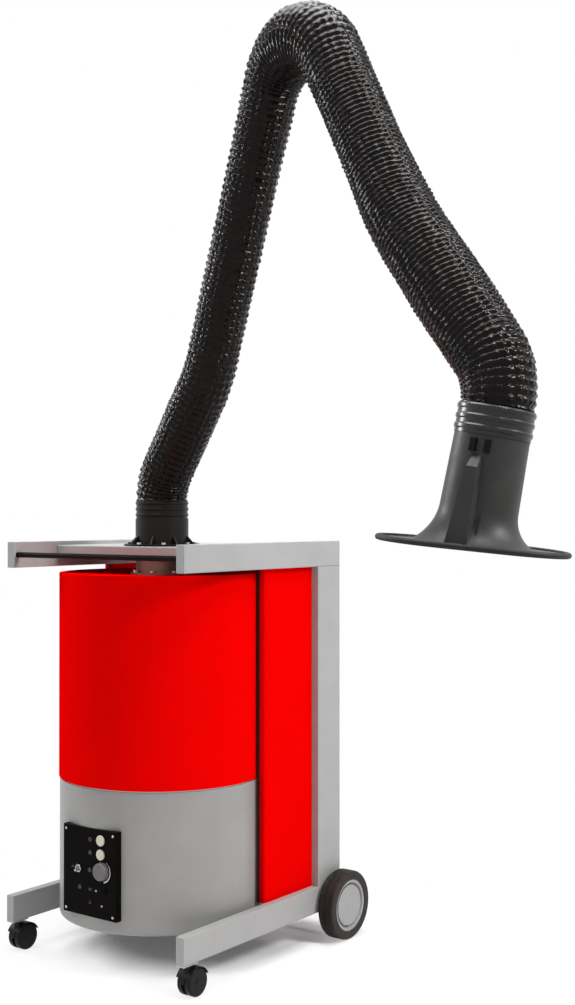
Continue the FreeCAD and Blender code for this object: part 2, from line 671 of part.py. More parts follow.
def control_box():
    """Box seated on the round drum, with a tray behind its face and holes for the controls."""
    half_width = BOX_WIDTH / 2
    half_height = BOX_HEIGHT / 2
    low = BOX_CENTRE - half_height
    high = BOX_CENTRE + half_height
    outer = block(-half_width, half_width, BOX_FACE, 0, low, high)
    outer = outer.makeFillet(BOX_EDGE, edges_at(outer, lambda p: p.y < BOX_FACE + 1e-6))
    outer = outer.cut(upright(FAN_RADIUS, low, high))
    tray_width = half_width - TRAY_MARGIN
    tray_height = half_height - TRAY_MARGIN_HIGH
    tray = block(-tray_width, tray_width, BOX_FACE + BOX_WALL, BOX_FACE + TRAY_DEPTH,
                 BOX_CENTRE - tray_height, BOX_CENTRE + tray_height)
    hollow = block(-tray_width + TRAY_WALL, tray_width - TRAY_WALL, BOX_FACE + BOX_WALL,
                   BOX_FACE + TRAY_DEPTH - TRAY_WALL,
                   BOX_CENTRE - tray_height + TRAY_WALL, BOX_CENTRE + tray_height - TRAY_WALL)
    holes = []
    for place in BUTTON_PLACES:
        holes.append(rod(BUTTON_RADIUS + PART_GAP, on_panel(place, BOX_FACE), Y_AXIS, BOX_WALL))
    holes.append(rod(KNOB_SHAFT_RADIUS + RUN_FIT, on_panel(KNOB_PLACE, BOX_FACE), Y_AXIS, BOX_WALL))
    holes.append(rod(TOGGLE_BALL_RADIUS + PART_GAP, on_panel(TOGGLE_PLACE, BOX_FACE), Y_AXIS, BOX_WALL))
    for place in LAMP_PLACES:
        holes.append(rod(LAMP_RADIUS + RUN_FIT, on_panel(place, BOX_FACE), Y_AXIS, BOX_WALL))
    for place in screw_places():
        holes.append(rod(SCREW_RADIUS + RUN_FIT, on_panel(place, BOX_FACE), Y_AXIS, SCREW_LENGTH + PART_GAP))
    return fused([outer, tray]).cut([hollow] + holes)


def control_board():
    """Circuit board in the tray, with the knob's potentiometer."""
    half_width = BOX_WIDTH / 2 - TRAY_MARGIN - TRAY_WALL
    half_height = BOX_HEIGHT / 2 - TRAY_MARGIN_HIGH - TRAY_WALL
    board = block(-half_width, half_width, BOARD_Y, BOARD_Y + BOARD_SHEET,
                  BOX_CENTRE - half_height, BOX_CENTRE + half_height)
    pot_front = BOX_FACE + BOX_WALL + PART_GAP
    pot = rod(POT_RADIUS, on_panel(KNOB_PLACE, pot_front), Y_AXIS, BOARD_Y - pot_front)
    seat = rod(KNOB_SHAFT_RADIUS + RUN_FIT, on_panel(KNOB_PLACE, pot_front), Y_AXIS, POT_SEAT + PART_GAP)
    return fused([board, pot]).cut(seat)


def panel_screws():
    """Pan-head screws at the corners of the panel."""
    screws = []
    for place in screw_places():
        head = rod(SCREW_HEAD_RADIUS, on_panel(place, BOX_FACE - SCREW_HEAD), Y_AXIS, SCREW_HEAD)
        front = edges_at(head, lambda p: p.y < BOX_FACE - SCREW_HEAD + 1e-6)
        head = head.makeFillet(SCREW_HEAD * 0.6, front)
        screws.append(fused([head, rod(SCREW_RADIUS, on_panel(place, BOX_FACE), Y_AXIS, SCREW_LENGTH)]))
    return Part.makeCompound(screws)


def push_button(place):
    """Round cap through the panel, kept in by a collar behind the wall."""
    front = BOX_FACE - BUTTON_PROUD
    collar = BOX_FACE + BOX_WALL + PART_GAP
    cap = rod(BUTTON_RADIUS, on_panel(place, front), Y_AXIS, collar - front)
    cap = cap.makeFillet(BUTTON_PROUD * 0.5, edges_at(cap, lambda p: p.y < front + 1e-6))
    stop = rod(BUTTON_RADIUS + BUTTON_COLLAR, on_panel(place, collar), Y_AXIS, BUTTON_COLLAR_SHEET)
    return fused([cap, stop])


def speed_knob():
    """Fluted, slightly tapered knob with a pointer groove, on its spindle."""
    spindle = BOX_WALL + PART_GAP + POT_SEAT
    skirt = PART_GAP
    body = turned([(0, skirt), (KNOB_RADIUS, skirt), (KNOB_RADIUS - KNOB_TAPER, KNOB_DEPTH), (0, KNOB_DEPTH)])
    body = body.makeFillet(KNOB_TAPER * 0.75, edges_at(body, lambda p: p.z > KNOB_DEPTH - 1e-6))
    flutes = []
    for x, y in ring_places(KNOB_RADIUS, KNOB_FLUTES):
        flutes.append(upright(KNOB_FLUTE_RADIUS, KNOB_DEPTH * 0.3, KNOB_DEPTH, x, y))
    pointer = block(-1.0, 1.0, KNOB_RADIUS * 0.4, KNOB_RADIUS, KNOB_DEPTH - 1.0, KNOB_DEPTH)
    knob = fused([body.cut(flutes + [pointer]), upright(KNOB_SHAFT_RADIUS, -spindle, skirt)])
    knob.Placement = FreeCAD.Placement(on_panel(KNOB_PLACE, BOX_FACE), FreeCAD.Rotation(X_AXIS, 90))
    return knob


def toggle_nut():
    """Bright hexagon nut of the toggle switch with a flared mouth."""
    corners = [V(x, y, 0) for x, y in ring_places(TOGGLE_NUT_RADIUS, 6)]
    nut = polygon_face(corners).extrude(V(0, 0, TOGGLE_NUT_DEPTH))
    dome = upright(TOGGLE_NUT_RADIUS * 0.94, 0, TOGGLE_NUT_DEPTH)
    dome = dome.makeFillet(TOGGLE_NUT_DEPTH * 0.3, edges_at(dome, lambda p: p.z > TOGGLE_NUT_DEPTH - 1e-6))
    mouth = Part.makeCone(TOGGLE_BALL_RADIUS + PART_GAP, TOGGLE_BALL_RADIUS * 1.7, TOGGLE_NUT_DEPTH)
    nut = nut.common(dome).cut(mouth)
    nut.Placement = FreeCAD.Placement(on_panel(TOGGLE_PLACE, BOX_FACE), FreeCAD.Rotation(X_AXIS, 90))
    return nut


def toggle_lever():
    """Short lever on a ball, thrown downwards at rest."""
    pivot = on_panel(TOGGLE_PLACE, BOX_FACE + BOX_WALL / 2)
    ball = Part.makeSphere(TOGGLE_BALL_RADIUS)
    lever = Part.makeCone(TOGGLE_NECK_RADIUS, TOGGLE_TIP_RADIUS, TOGGLE_LENGTH)
    lever = lever.makeFillet(TOGGLE_TIP_RADIUS * 0.7, edges_at(lever, lambda p: p.z > TOGGLE_LENGTH - 1e-6))
    whole = fused([ball, lever])
    whole.Placement = FreeCAD.Placement(pivot, FreeCAD.Rotation(X_AXIS, 90 + TOGGLE_THROW))
    return whole


def status_lamps():
    """Two small domed lamps in the panel."""
    lamps = []
    for place in LAMP_PLACES:
        lamp = rod(LAMP_RADIUS, on_panel(place, BOX_FACE - LAMP_PROUD), Y_AXIS, LAMP_PROUD + BOX_WALL)
        front = edges_at(lamp, lambda p: p.y < BOX_FACE - LAMP_PROUD + 1e-6)
        lamps.append(lamp.makeFillet(LAMP_PROUD * 0.8, front))
    return Part.makeCompound(lamps)


def buzzer_cap():
    """Round cap with two ring grooves."""
    r = BUZZER_RADIUS
    depth = BUZZER_PROUD
    cap = turned([(0, 0), (r, 0), (r, depth * 0.6), (r * 0.9, depth), (r * 0.7, depth),
                  (r * 0.7, depth * 0.4), (r * 0.6, depth * 0.4), (r * 0.6, depth), (r * 0.4, depth),
                  (r * 0.4, depth * 0.4),
                  (r * 0.3, depth * 0.4), (r * 0.3, depth), (0, depth)])
    cap.Placement = FreeCAD.Placement(on_panel(BUZZER_PLACE, BOX_FACE), FreeCAD.Rotation(X_AXIS, 90))
    return cap


# Rear wheels

def to_axle(shape):
    """Put a piece turned on Z, with z counted outwards from the beam, on the right end of the axle."""
    shape.Placement = FreeCAD.Placement(V(OUTER_X, AXLE_Y, WHEEL_RADIUS), FreeCAD.Rotation(Y_AXIS, 90))
    return shape


def wheel_rim():
    """Dished disc with a hub that turns on the axle."""
    inner = WHEEL_GAP
    outer = WHEEL_GAP + WHEEL_WIDTH - RIM_INSET
    floor = outer - RIM_RECESS
    back = inner + RIM_INSET
    bore = AXLE_RADIUS + RUN_FIT
    return to_axle(turned([(bore, inner), (RIM_HUB_RADIUS, inner), (RIM_HUB_RADIUS, back), (RIM_RADIUS, back),
                           (RIM_RADIUS, outer), (RIM_RECESS_RADIUS + RIM_RECESS * 0.4, outer),
                           (RIM_RECESS_RADIUS, floor), (RIM_HUB_RADIUS, floor),
                           (RIM_HUB_RADIUS - RIM_HUB * 0.3, floor + RIM_HUB), (bore, floor + RIM_HUB)]))


def wheel_tyre():
    """Solid tyre with rounded shoulders and fine grooves round the tread."""
    z0 = WHEEL_GAP
    z1 = WHEEL_GAP + WHEEL_WIDTH
    tyre = upright(WHEEL_RADIUS, z0, z1)
    shoulders = edges_at(tyre, lambda p: min(p.z - z0, z1 - p.z) < 1e-6)
    tyre = tyre.makeFillet(TYRE_SHOULDER, shoulders)
    pitch = (WHEEL_WIDTH - 2 * TYRE_SHOULDER) / (TREAD_GROOVES - 1)
    grooves = []
    for index in range(TREAD_GROOVES):
        z = z0 + TYRE_SHOULDER + index * pitch
        low = z - TREAD_GROOVE / 2
        high = z + TREAD_GROOVE / 2
        ring = upright(WHEEL_RADIUS + TREAD_GROOVE, low, high)
        grooves.append(ring.cut(upright(WHEEL_RADIUS - TREAD_GROOVE, low, high)))
    return to_axle(tyre.cut([upright(RIM_RADIUS, z0, z1)] + grooves))


def rear_axle():
    """Axle through both base beams, with spacers and end caps."""
    cap_seat = WHEEL_GAP + WHEEL_WIDTH - RIM_INSET - RIM_RECESS + RIM_HUB + PART_GAP
    reach = OUTER_X + cap_seat
    shaft = rod(AXLE_RADIUS, V(-reach, AXLE_Y, WHEEL_RADIUS), X_AXIS, 2 * reach)
    spacer = upright(SPACER_RADIUS, 0, WHEEL_GAP - PART_GAP).cut(upright(AXLE_RADIUS, 0, WHEEL_GAP))
    cap = upright(AXLE_CAP_RADIUS, cap_seat, cap_seat + AXLE_CAP)
    cap = cap.makeFillet(AXLE_CAP * 0.5, edges_at(cap, lambda p: p.z > cap_seat + AXLE_CAP - 1e-6))
    ends = [to_axle(spacer), to_axle(cap)]
    return Part.makeCompound([shaft] + ends + [mirrored(end) for end in ends])


# Front castors

def castor_plates():
    """Fixing plates under the base beams, with the stems' sockets."""
    plates = []
    for side in (-1, 1):
        x = side * CASTOR_X
        half = CASTOR_PLATE_LENGTH / 2
        y0 = max(STEM_Y - half, -FRAME_FRONT)
        plate = block(x - BEAM_WIDTH / 2, x + BEAM_WIDTH / 2, y0, y0 + CASTOR_PLATE_LENGTH,
                      FRAME_CLEARANCE - CASTOR_PLATE, FRAME_CLEARANCE)
        plates.append(plate.cut(upright(CASTOR_STEM_RADIUS + RUN_FIT, FRAME_CLEARANCE - CASTOR_PLATE,
                                        FRAME_CLEARANCE, x, STEM_Y)))
    return Part.makeCompound(plates)


def castor_axle_rod(radius, half_width):
    """Round bar across a castor on its wheel axis."""
    start = V(CASTOR_X - half_width, STEM_Y + CASTOR_TRAIL, CASTOR_RADIUS)
    return rod(radius, start, X_AXIS, 2 * half_width)


def castor_hood():
    """Hood over the twin wheels, with the web between them, the stem and its boss."""
    inner = CASTOR_RADIUS + CASTOR_HOOD_GAP
    outer = inner + CASTOR_HOOD
    half = CASTOR_WIDTH / 2
    boss_top = FRAME_CLEARANCE - CASTOR_PLATE - PART_GAP
    axle_y = STEM_Y + CASTOR_TRAIL
    lower_cut = block(CASTOR_X - half, CASTOR_X + half, axle_y - outer, axle_y + outer,
                      CASTOR_RADIUS - outer, CASTOR_RADIUS)
    skirt_cut = lower_cut.translated(V(0, 0, CASTOR_HOOD_RISE))
    shell = castor_axle_rod(outer, half).cut([castor_axle_rod(inner, half), lower_cut, skirt_cut])
    web = castor_axle_rod(inner, CASTOR_WEB / 2)
    web = web.cut(lower_cut).fuse(castor_axle_rod(CASTOR_AXLE_RADIUS * 2, CASTOR_WEB / 2))
    boss = upright(CASTOR_BOSS_RADIUS, CASTOR_RADIUS + inner * 0.6, boss_top, CASTOR_X, STEM_Y)
    boss = boss.cut(castor_axle_rod(inner, half))
    stem = upright(CASTOR_STEM_RADIUS, boss_top, FRAME_CLEARANCE + CASTOR_STEM_REACH, CASTOR_X, STEM_Y)
    return fused([shell, web, boss, stem]).cut(castor_axle_rod(CASTOR_AXLE_RADIUS + RUN_FIT, half))


def castor_wheels():
    """Twin wheels on one axle, with rounded edges and small hub caps."""
    inner_x = CASTOR_WEB / 2 + CASTOR_SIDE_GAP
    outer_x = CASTOR_WIDTH / 2 - CASTOR_HUB
    wheels = [castor_axle_rod(CASTOR_AXLE_RADIUS, outer_x)]
    for side in (-1, 1):
        near, far = sorted((side * inner_x, side * outer_x))
        start = V(CASTOR_X + near, STEM_Y + CASTOR_TRAIL, CASTOR_RADIUS)
        wheel = rod(CASTOR_RADIUS, start, X_AXIS, far - near)
        face = CASTOR_X + side * outer_x
        wheels.append(wheel.makeFillet(CASTOR_EDGE, edges_at(wheel, lambda p: abs(p.x - face) < 1e-6)))
        hub_start = V(min(face, face + side * CASTOR_HUB), start.y, start.z)
        wheels.append(rod(CASTOR_HUB_RADIUS, hub_start, X_AXIS, CASTOR_HUB))
    return fused(wheels)


# Arm base, built on the arm's own axes: X along its reach, Y across it

def arm_base():
    """Bolted flange with a collar and gussets."""
    seat = PLATE_TOP + BASE_FLANGE
    bore = COLLAR_RADIUS - COLLAR_WALL
    body = turned([(bore, PLATE_TOP), (BASE_FLANGE_RADIUS, PLATE_TOP), (BASE_FLANGE_RADIUS, seat),
                   (COLLAR_RADIUS, seat), (COLLAR_RADIUS, COLLAR_TOP), (bore, COLLAR_TOP)])
    foot = COLLAR_RADIUS - COLLAR_WALL / 2
    y0 = -GUSSET_SHEET / 2
    gusset = polygon_face([V(foot, y0, seat), V(COLLAR_RADIUS + GUSSET_REACH, y0, seat),
                           V(COLLAR_RADIUS, y0, seat + GUSSET_HEIGHT), V(foot, y0, seat + GUSSET_HEIGHT)])
    gusset = gusset.extrude(V(0, GUSSET_SHEET, 0))
    body = fused([body] + turned_copies(gusset, GUSSETS, 180.0 / GUSSETS))
    holes = []
    for x, y in ring_places(BASE_BOLT_CIRCLE, BASE_BOLTS):
        holes.append(upright(BOLT_RADIUS + BOLT_FIT, PLATE_TOP, seat, x, y))
    return body.cut(holes)


def swivel_ring():
    """Ring that turns on the collar, guided by its spigot."""
    low = COLLAR_TOP + PART_GAP
    spigot = COLLAR_TOP - SWIVEL_SPIGOT
    return turned([(SWIVEL_BORE, spigot), (SWIVEL_SPIGOT_RADIUS, spigot), (SWIVEL_SPIGOT_RADIUS, low),
                   (COLLAR_RADIUS, low), (COLLAR_RADIUS, SWIVEL_TOP), (SWIVEL_BORE, SWIVEL_TOP)])


def ringed_sleeve(bore, radius, z0, z1, rings, ring):
    """Sleeve with raised rings spread along it."""
    pitch = (z1 - z0) / rings
    outline = [(bore, z0)]
    for index in range(rings):
        z = z0 + index * pitch
        outline += [(radius, z), (radius, z + pitch * 0.35), (radius + ring, z + pitch * 0.5),
                    (radius + ring, z + pitch * 0.8), (radius, z + pitch * 0.95)]
    outline += [(radius, z1), (bore, z1)]
    return turned(outline)


def base_cuff():
    """Ringed cuff that holds the hose on the swivel ring."""
    return ringed_sleeve(SWIVEL_BORE, COLLAR_RADIUS - CUFF_RING, SWIVEL_TOP, CUFF_TOP, CUFF_RINGS, CUFF_RING)


def pivot_fork(bore, bar_low, pivot_z):
    """Bar across a bore with two ears round a pivot above it."""
    bar_top = bar_low + FORK_BAR
    bar = block(-bore, bore, -EAR_OUTER, EAR_OUTER, bar_low, bar_top).common(upright(bore, bar_low, bar_top))
    pieces = [bar]
    for y0 in (-EAR_OUTER, EAR_INNER):
        pieces.append(block(-EYE_RADIUS, EYE_RADIUS, y0, y0 + FORK_SHEET, bar_top, pivot_z))
        pieces.append(rod(EYE_RADIUS, V(0, y0, pivot_z), Y_AXIS, FORK_SHEET))
    hole = rod(PIN_RADIUS + RUN_FIT, V(0, -EAR_OUTER, pivot_z), Y_AXIS, 2 * EAR_OUTER)
    return fused(pieces).cut(hole)


def base_fork():
    """Fork across the swivel ring that carries the lower link."""
    return pivot_fork(SWIVEL_BORE, COLLAR_TOP + PART_GAP, PIVOT_HEIGHT)


def pivot_pin():
    """Headed pin across Y, centred on its pivot."""
    shank = rod(PIN_RADIUS, V(0, -EAR_OUTER, 0), Y_AXIS, 2 * EAR_OUTER)
    heads = [rod(PIN_HEAD_RADIUS, V(0, y0, 0), Y_AXIS, PIN_HEAD) for y0 in (-EAR_OUTER - PIN_HEAD, EAR_OUTER)]
    return fused([shank] + heads)


def link_bar(start, length):
    """Rounded bar along Z between two heights."""
    x = LINK_WIDTH / 2
    y = LINK_THICKNESS / 2
    bar = block(-x, x, -y, y, start, start + length)
    return bar.makeFillet(LINK_EDGE, edges_along(bar, Z_AXIS))


def link_eye(z):
    """Round eye across Y."""
    return rod(EYE_RADIUS, V(0, -EYE_THICKNESS / 2, z), Y_AXIS, EYE_THICKNESS)


def eye_hole(z):
    """Cutter for a pin's running hole across Y."""
    return rod(PIN_RADIUS + RUN_FIT, V(0, -EAR_OUTER, z), Y_AXIS, 2 * EAR_OUTER)


def lower_link():
    """Lower arm bar along Z: eye at the base, fork at the elbow."""
    bridge = LOWER_ARM - FORK_BRIDGE
    pieces = [link_eye(0), link_bar(0, bridge)]
    half = LINK_WIDTH / 2
    pieces.append(block(-half, half, -EAR_OUTER, EAR_OUTER, bridge - FORK_BAR, bridge))
    for y0 in (-EAR_OUTER, EAR_INNER):
        pieces.append(block(-half, half, y0, y0 + FORK_SHEET, bridge, LOWER_ARM))
        pieces.append(rod(EYE_RADIUS, V(0, y0, LOWER_ARM), Y_AXIS, FORK_SHEET))
    return fused(pieces).cut([eye_hole(0), eye_hole(LOWER_ARM)])


def upper_link(end_twist):
    """Upper arm bar along Z with an eye at each end, the far one twisted about the bar."""
    bar_end = UPPER_ARM - EYE_RADIUS - LINK_END_GAP
    half = LINK_WIDTH / 2
    tongue = block(-half, half, -EYE_THICKNESS / 2, EYE_THICKNESS / 2, bar_end - LINK_WIDTH, UPPER_ARM)
    far_eye = link_eye(UPPER_ARM).fuse(tongue)
    far_hole = eye_hole(UPPER_ARM)
    for shape in (far_eye, far_hole):
        shape.rotate(ORIGIN, Z_AXIS, end_twist)
    return fused([link_eye(0), link_bar(0, bar_end), far_eye]).cut([eye_hole(0), far_hole])


# Pivots and axes of the arm

def polar(length, angle):
    """Step in the arm's plane, by its angle from straight up towards the reach."""
    return V(math.sin(math.radians(angle)), 0, math.cos(math.radians(angle))) * length


BASE_PIVOT = V(0, 0, PIVOT_HEIGHT)
ELBOW_PIVOT = BASE_PIVOT + polar(LOWER_ARM, LOWER_LEAN)
UPPER_DIRECTION = polar(1.0, 180.0 - UPPER_DROP)
HOOD_PIVOT = ELBOW_PIVOT + UPPER_DIRECTION * UPPER_ARM
HOOD_SIDE = (math.sin(math.radians(HOOD_LEAN)), math.sin(math.radians(HOOD_ROLL)))
HOOD_DOWN = V(-HOOD_SIDE[0], -HOOD_SIDE[1], -math.sqrt(1.0 - HOOD_SIDE[0] ** 2 - HOOD_SIDE[1] ** 2))
HOOD_TILT_AXIS = UPPER_DIRECTION.cross(HOOD_DOWN).normalize()


def frame_from(z_axis, x_hint):
    """Rotation whose Z is the given axis and whose X lies as near as it can to a hint."""
    x_axis = (x_hint - z_axis * z_axis.dot(x_hint)).normalize()
    return FreeCAD.Rotation(x_axis, z_axis.cross(x_axis), z_axis, "ZXY")


def frame_across(z_axis, y_axis):
    """Rotation whose Z and Y are the given square axes."""
    return FreeCAD.Rotation(y_axis.cross(z_axis), y_axis, z_axis, "ZXY")


def moved(shape, origin, rotation):
    """Copy of a shape put at a place in the arm's own axes."""
    copy = shape.copy()
    copy.Placement = FreeCAD.Placement(origin, rotation).multiply(copy.Placement)
    return copy


def swung(shape):
    """Piece of the arm turned from its own axes to its azimuth on the base."""
    shape.rotate(ORIGIN, Z_AXIS, ARM_AZIMUTH)
    return shape


LOWER_FRAME = frame_across(polar(1.0, LOWER_LEAN), Y_AXIS)
UPPER_FRAME = frame_across(UPPER_DIRECTION, Y_AXIS)
TILT_FRAME = frame_across(HOOD_DOWN * -1, HOOD_TILT_AXIS)
TURN_HINT = V(math.cos(math.radians(HOOD_TURN)), math.sin(math.radians(HOOD_TURN)), 0)
HOOD_FRAME = frame_from(HOOD_DOWN * -1, TURN_HINT)
HOOD_ORIGIN = HOOD_PIVOT + HOOD_DOWN * HOOD_REACH


def upper_end_twist():
    """Turn of the upper link's far eye about the bar, from the arm's plane to the hood's tilt axis."""
    local = UPPER_FRAME.inverted().multVec(HOOD_TILT_AXIS)
    return math.degrees(math.atan2(-local.x, local.y))


# Hose

def straight_run(start, end):
    """Length of a straight run and the point and direction at a distance along it."""
    direction = (end - start).normalize()
    return (end - start).Length, lambda s: (start + direction * s, direction)


def bend_run(entry, ahead, inward, radius, turn):
    """Length of an arc and the point and direction at a distance along it."""
    centre = entry + inward * radius

    def place(s):
        angle = s / radius
        point = centre + (ahead * math.sin(angle) - inward * math.cos(angle)) * radius
        return point, ahead * math.cos(angle) + inward * math.sin(angle)
    return radius * turn, place


def hose_runs():
    """Straight runs and tangent arcs of the hose, from the base cuff to the hood's cuff."""
    start = V(0, 0, CUFF_TOP)
    lower = polar(1.0, LOWER_LEAN)
    lower_side = polar(1.0, LOWER_LEAN + 90.0)
    upper_side = polar(1.0, 270.0 - UPPER_DROP)
    end = HOOD_PIVOT + HOOD_DOWN * (HOOD_REACH - HOOD_LENGTH - HOOD_CUFF_LENGTH - PART_GAP)
    corners = [(start, 0.0),
               (start + V(0, 0, HOSE_START_RISE), HOSE_START_BEND),
               (BASE_PIVOT + lower * HOSE_BOW_ALONG + lower_side * HOSE_BOW_OUT, HOSE_BOW_BEND),
               (ELBOW_PIVOT + V(HOSE_CROWN_ALONG, 0, HOSE_CROWN), HOSE_ELBOW_BEND),
               (ELBOW_PIVOT + UPPER_DIRECTION * HOSE_EASE_ALONG + upper_side * HOSE_EASE_IN, HOSE_EASE_BEND),
               (HOOD_PIVOT, HOSE_HOOD_BEND),
               (end, 0.0)]
    runs = []
    here = start
    for (before, _), (corner, radius), (after, _) in zip(corners, corners[1:], corners[2:]):
        ahead = (corner - before).normalize()
        onward = (after - corner).normalize()
        turn = ahead.getAngle(onward)
        setback = radius * math.tan(turn / 2)
        inward = (onward - ahead * ahead.dot(onward)).normalize()
        runs.append(straight_run(here, corner - ahead * setback))
        runs.append(bend_run(corner - ahead * setback, ahead, inward, radius, turn))
        here = corner + onward * setback
    runs.append(straight_run(here, end))
    return runs


RUNS = hose_runs()
HOSE_LENGTH = sum(length for length, _ in RUNS)
HOSE_MARKS = (0.0,) + tuple(share * HOSE_LENGTH for share in HOSE_SPLIT_SHARES) + (HOSE_LENGTH,)


def on_hose(s):
    """Point and direction of the hose's centre line at a distance from the base cuff."""
    for length, place in RUNS[:-1]:
        if s <= length:
            return place(s)
        s -= length
    return RUNS[-1][1](s)


def crest_radius(s):
    """Crest radius at a distance along the hose, between the given swellings."""
    share = s / HOSE_LENGTH
    for (share0, r0), (share1, r1) in zip(HOSE_RADII, HOSE_RADII[1:]):
        if share <= share1:
            return r0 + (r1 - r0) * (share - share0) / (share1 - share0)
    return HOSE_RADII[-1][1]


def hose_circle(s, radius):
    """Circle square to the hose's centre line, its X axis kept across the arm's plane."""
    point, direction = on_hose(s)
    circle = Part.makeCircle(radius)
    circle.Placement = FreeCAD.Placement(point, frame_from(direction, Y_AXIS))
    return Part.Wire(circle)


def hose_span(number, end_gap):
    """One of the hose's ribbed tubes, cut short at its far end by a gap."""
    start, end = HOSE_MARKS[number:number + 2]
    pitch = (end - start) / HOSE_RIB_COUNTS[number]
    steps = []
    for rib in range(HOSE_RIB_COUNTS[number]):
        steps += [(start + (rib + share) * pitch, depth) for share, depth in RIB_STEPS]
    steps.append((end - end_gap, RIB_STEPS[0][1]))
    outer = [hose_circle(s, crest_radius(s) - depth * HOSE_RIB_DEPTH) for s, depth in steps]
    inset = HOSE_RIB_DEPTH + HOSE_WALL
    inner = [hose_circle(s, crest_radius(s) - inset) for s, _ in steps[::len(RIB_STEPS)]]
    return Part.makeLoft(outer, True, True).cut(Part.makeLoft(inner, True, True))


# Hood, built with Z up its axis from the mouth

def leaning(shape):
    """Piece of the flange turned from the neck's square plane to the flange's own."""
    shape.rotate(V(0, 0, HOOD_FLANGE_TOP), Y_AXIS, -HOOD_SKEW)
    return shape


def hood_body(inset):
    """Solid of the neck and trumpet flare, drawn in by a wall; the flare's rings lean over to the flange."""
    base = HOOD_NECK_BASE_RADIUS - inset
    rise = HOOD_FLARE_HEIGHT - HOOD_FLANGE_TOP
    spread = HOOD_FLARE_RADIUS - HOOD_NECK_BASE_RADIUS
    bend = (rise ** 2 + spread ** 2) / (2 * spread)
    turn = math.asin(rise / bend)
    rings = []
    for index in range(HOOD_FLARE_RINGS + 1):
        share = index / HOOD_FLARE_RINGS
        circle = Part.makeCircle(base + bend * (1 - math.cos(share * turn)))
        place = V(0, 0, HOOD_FLARE_HEIGHT - bend * math.sin(share * turn))
        circle.Placement = FreeCAD.Placement(place, FreeCAD.Rotation(Y_AXIS, -HOOD_SKEW * share))
        rings.append(Part.Wire(circle))
    flare = Part.makeLoft(rings, True, False)
    foot = leaning(upright(HOOD_FLARE_RADIUS - inset, 0, HOOD_FLANGE_TOP))
    top = HOOD_LENGTH - inset
    neck = turned([(0, HOOD_FLARE_HEIGHT), (base, HOOD_FLARE_HEIGHT), (HOOD_NECK_RADIUS - inset, top),
                   (0, top)])
    return fused([neck, flare, foot])


def oblong_face(half_length, half_width, z):
    """Flat face with straight sides and round ends."""
    run = half_length - half_width
    corners = [V(-run, -half_width, z), V(run, -half_width, z), V(run, half_width, z), V(-run, half_width, z)]
    right = Part.Arc(corners[1], V(half_length, 0, z), corners[2]).toShape()
    left = Part.Arc(corners[3], V(-half_length, 0, z), corners[0]).toShape()
    near = Part.makeLine(corners[0], corners[1])
    far = Part.makeLine(corners[2], corners[3])
    return face_of([near, right, far, left])


def rim_centre_line():
    """Half length and half width of the rim tube's centre line."""
    return HOOD_RIM_LENGTH / 2 - HOOD_RIM_RADIUS, HOOD_RIM_WIDTH / 2 - HOOD_RIM_RADIUS


def hood_flange():
    """Flat oblong flange round the mouth, its edge held in the rim."""
    half_length, half_width = rim_centre_line()
    inset = HOOD_RIM_RADIUS - HOOD_RIM_GRIP
    face = oblong_face(half_length - inset, half_width - inset, HOOD_FLANGE_TOP - HOOD_WALL)
    return leaning(face.extrude(V(0, 0, HOOD_WALL)))


def hood():
    """Neck with spigot, trumpet flare and flange in one moulding."""
    spigot_radius = HOOD_CUFF_RADIUS - HOOD_CUFF_WALL / 2 - RUN_FIT
    spigot_top = HOOD_LENGTH + HOOD_SPIGOT
    spigot = upright(spigot_radius, HOOD_LENGTH - HOOD_WALL, spigot_top)
    body = fused([hood_body(0.0), hood_flange(), spigot])
    bore = upright(spigot_radius - HOOD_WALL, HOOD_LENGTH - 2 * HOOD_WALL, spigot_top)
    return body.cut([hood_body(HOOD_WALL), bore])


def hood_rim():
    """Rolled edge round the flange."""
    half_length, half_width = rim_centre_line()
    z = HOOD_FLANGE_TOP - HOOD_WALL / 2
    path = oblong_face(half_length, half_width, z).OuterWire
    section = Part.Wire(Part.makeCircle(HOOD_RIM_RADIUS, V(0, -half_width, z), X_AXIS))
    tube = leaning(path.makePipeShell([section], True, False))
    return tube.cut(hood_flange())


def hood_grip():
    """Wedge handle on the side of the hood, widening towards the rim, with a thin rib beside it."""
    half = GRIP_BASE_WIDTH / 2
    foot = HOOD_FLANGE_TOP - GRIP_FOOT_DEPTH
    side = polygon_face([V(-half, 0, foot), V(-half, -GRIP_BASE_REACH, foot),
                         V(-half, -GRIP_SHOULDER_REACH, GRIP_SHOULDER),
                         V(-half, -HOOD_NECK_RADIUS, GRIP_TOP), V(-half, 0, GRIP_TOP)])
    front = polygon_face([V(-half, 0, foot), V(half, 0, foot), V(GRIP_TOP_WIDTH / 2, 0, GRIP_TOP),
                          V(-GRIP_TOP_WIDTH / 2, 0, GRIP_TOP)])
    wedge = side.extrude(V(2 * half, 0, 0)).common(front.extrude(V(0, -GRIP_BASE_REACH, 0)))
    rib_x = half + GRIP_RIB_GAP
    rib_top = HOOD_FLANGE_TOP + GRIP_RIB_HEIGHT
    rib = polygon_face([V(rib_x, 0, foot), V(rib_x, -GRIP_RIB_REACH, foot),
                        V(rib_x, -HOOD_NECK_BASE_RADIUS, rib_top), V(rib_x, 0, rib_top)])
    rib = rib.extrude(V(GRIP_RIB_SHEET, 0, 0))
    reach = HOOD_RIM_LENGTH / 2
    under = leaning(block(-reach, reach, -reach, reach, foot - GRIP_FOOT_DEPTH, HOOD_FLANGE_TOP))
    body = hood_body(0.0)
    pieces = []
    for piece in (wedge, rib):
        piece.rotate(ORIGIN, Z_AXIS, GRIP_ANGLE)
        pieces.append(piece.cut([body, under]))
    return Part.makeCompound(pieces)


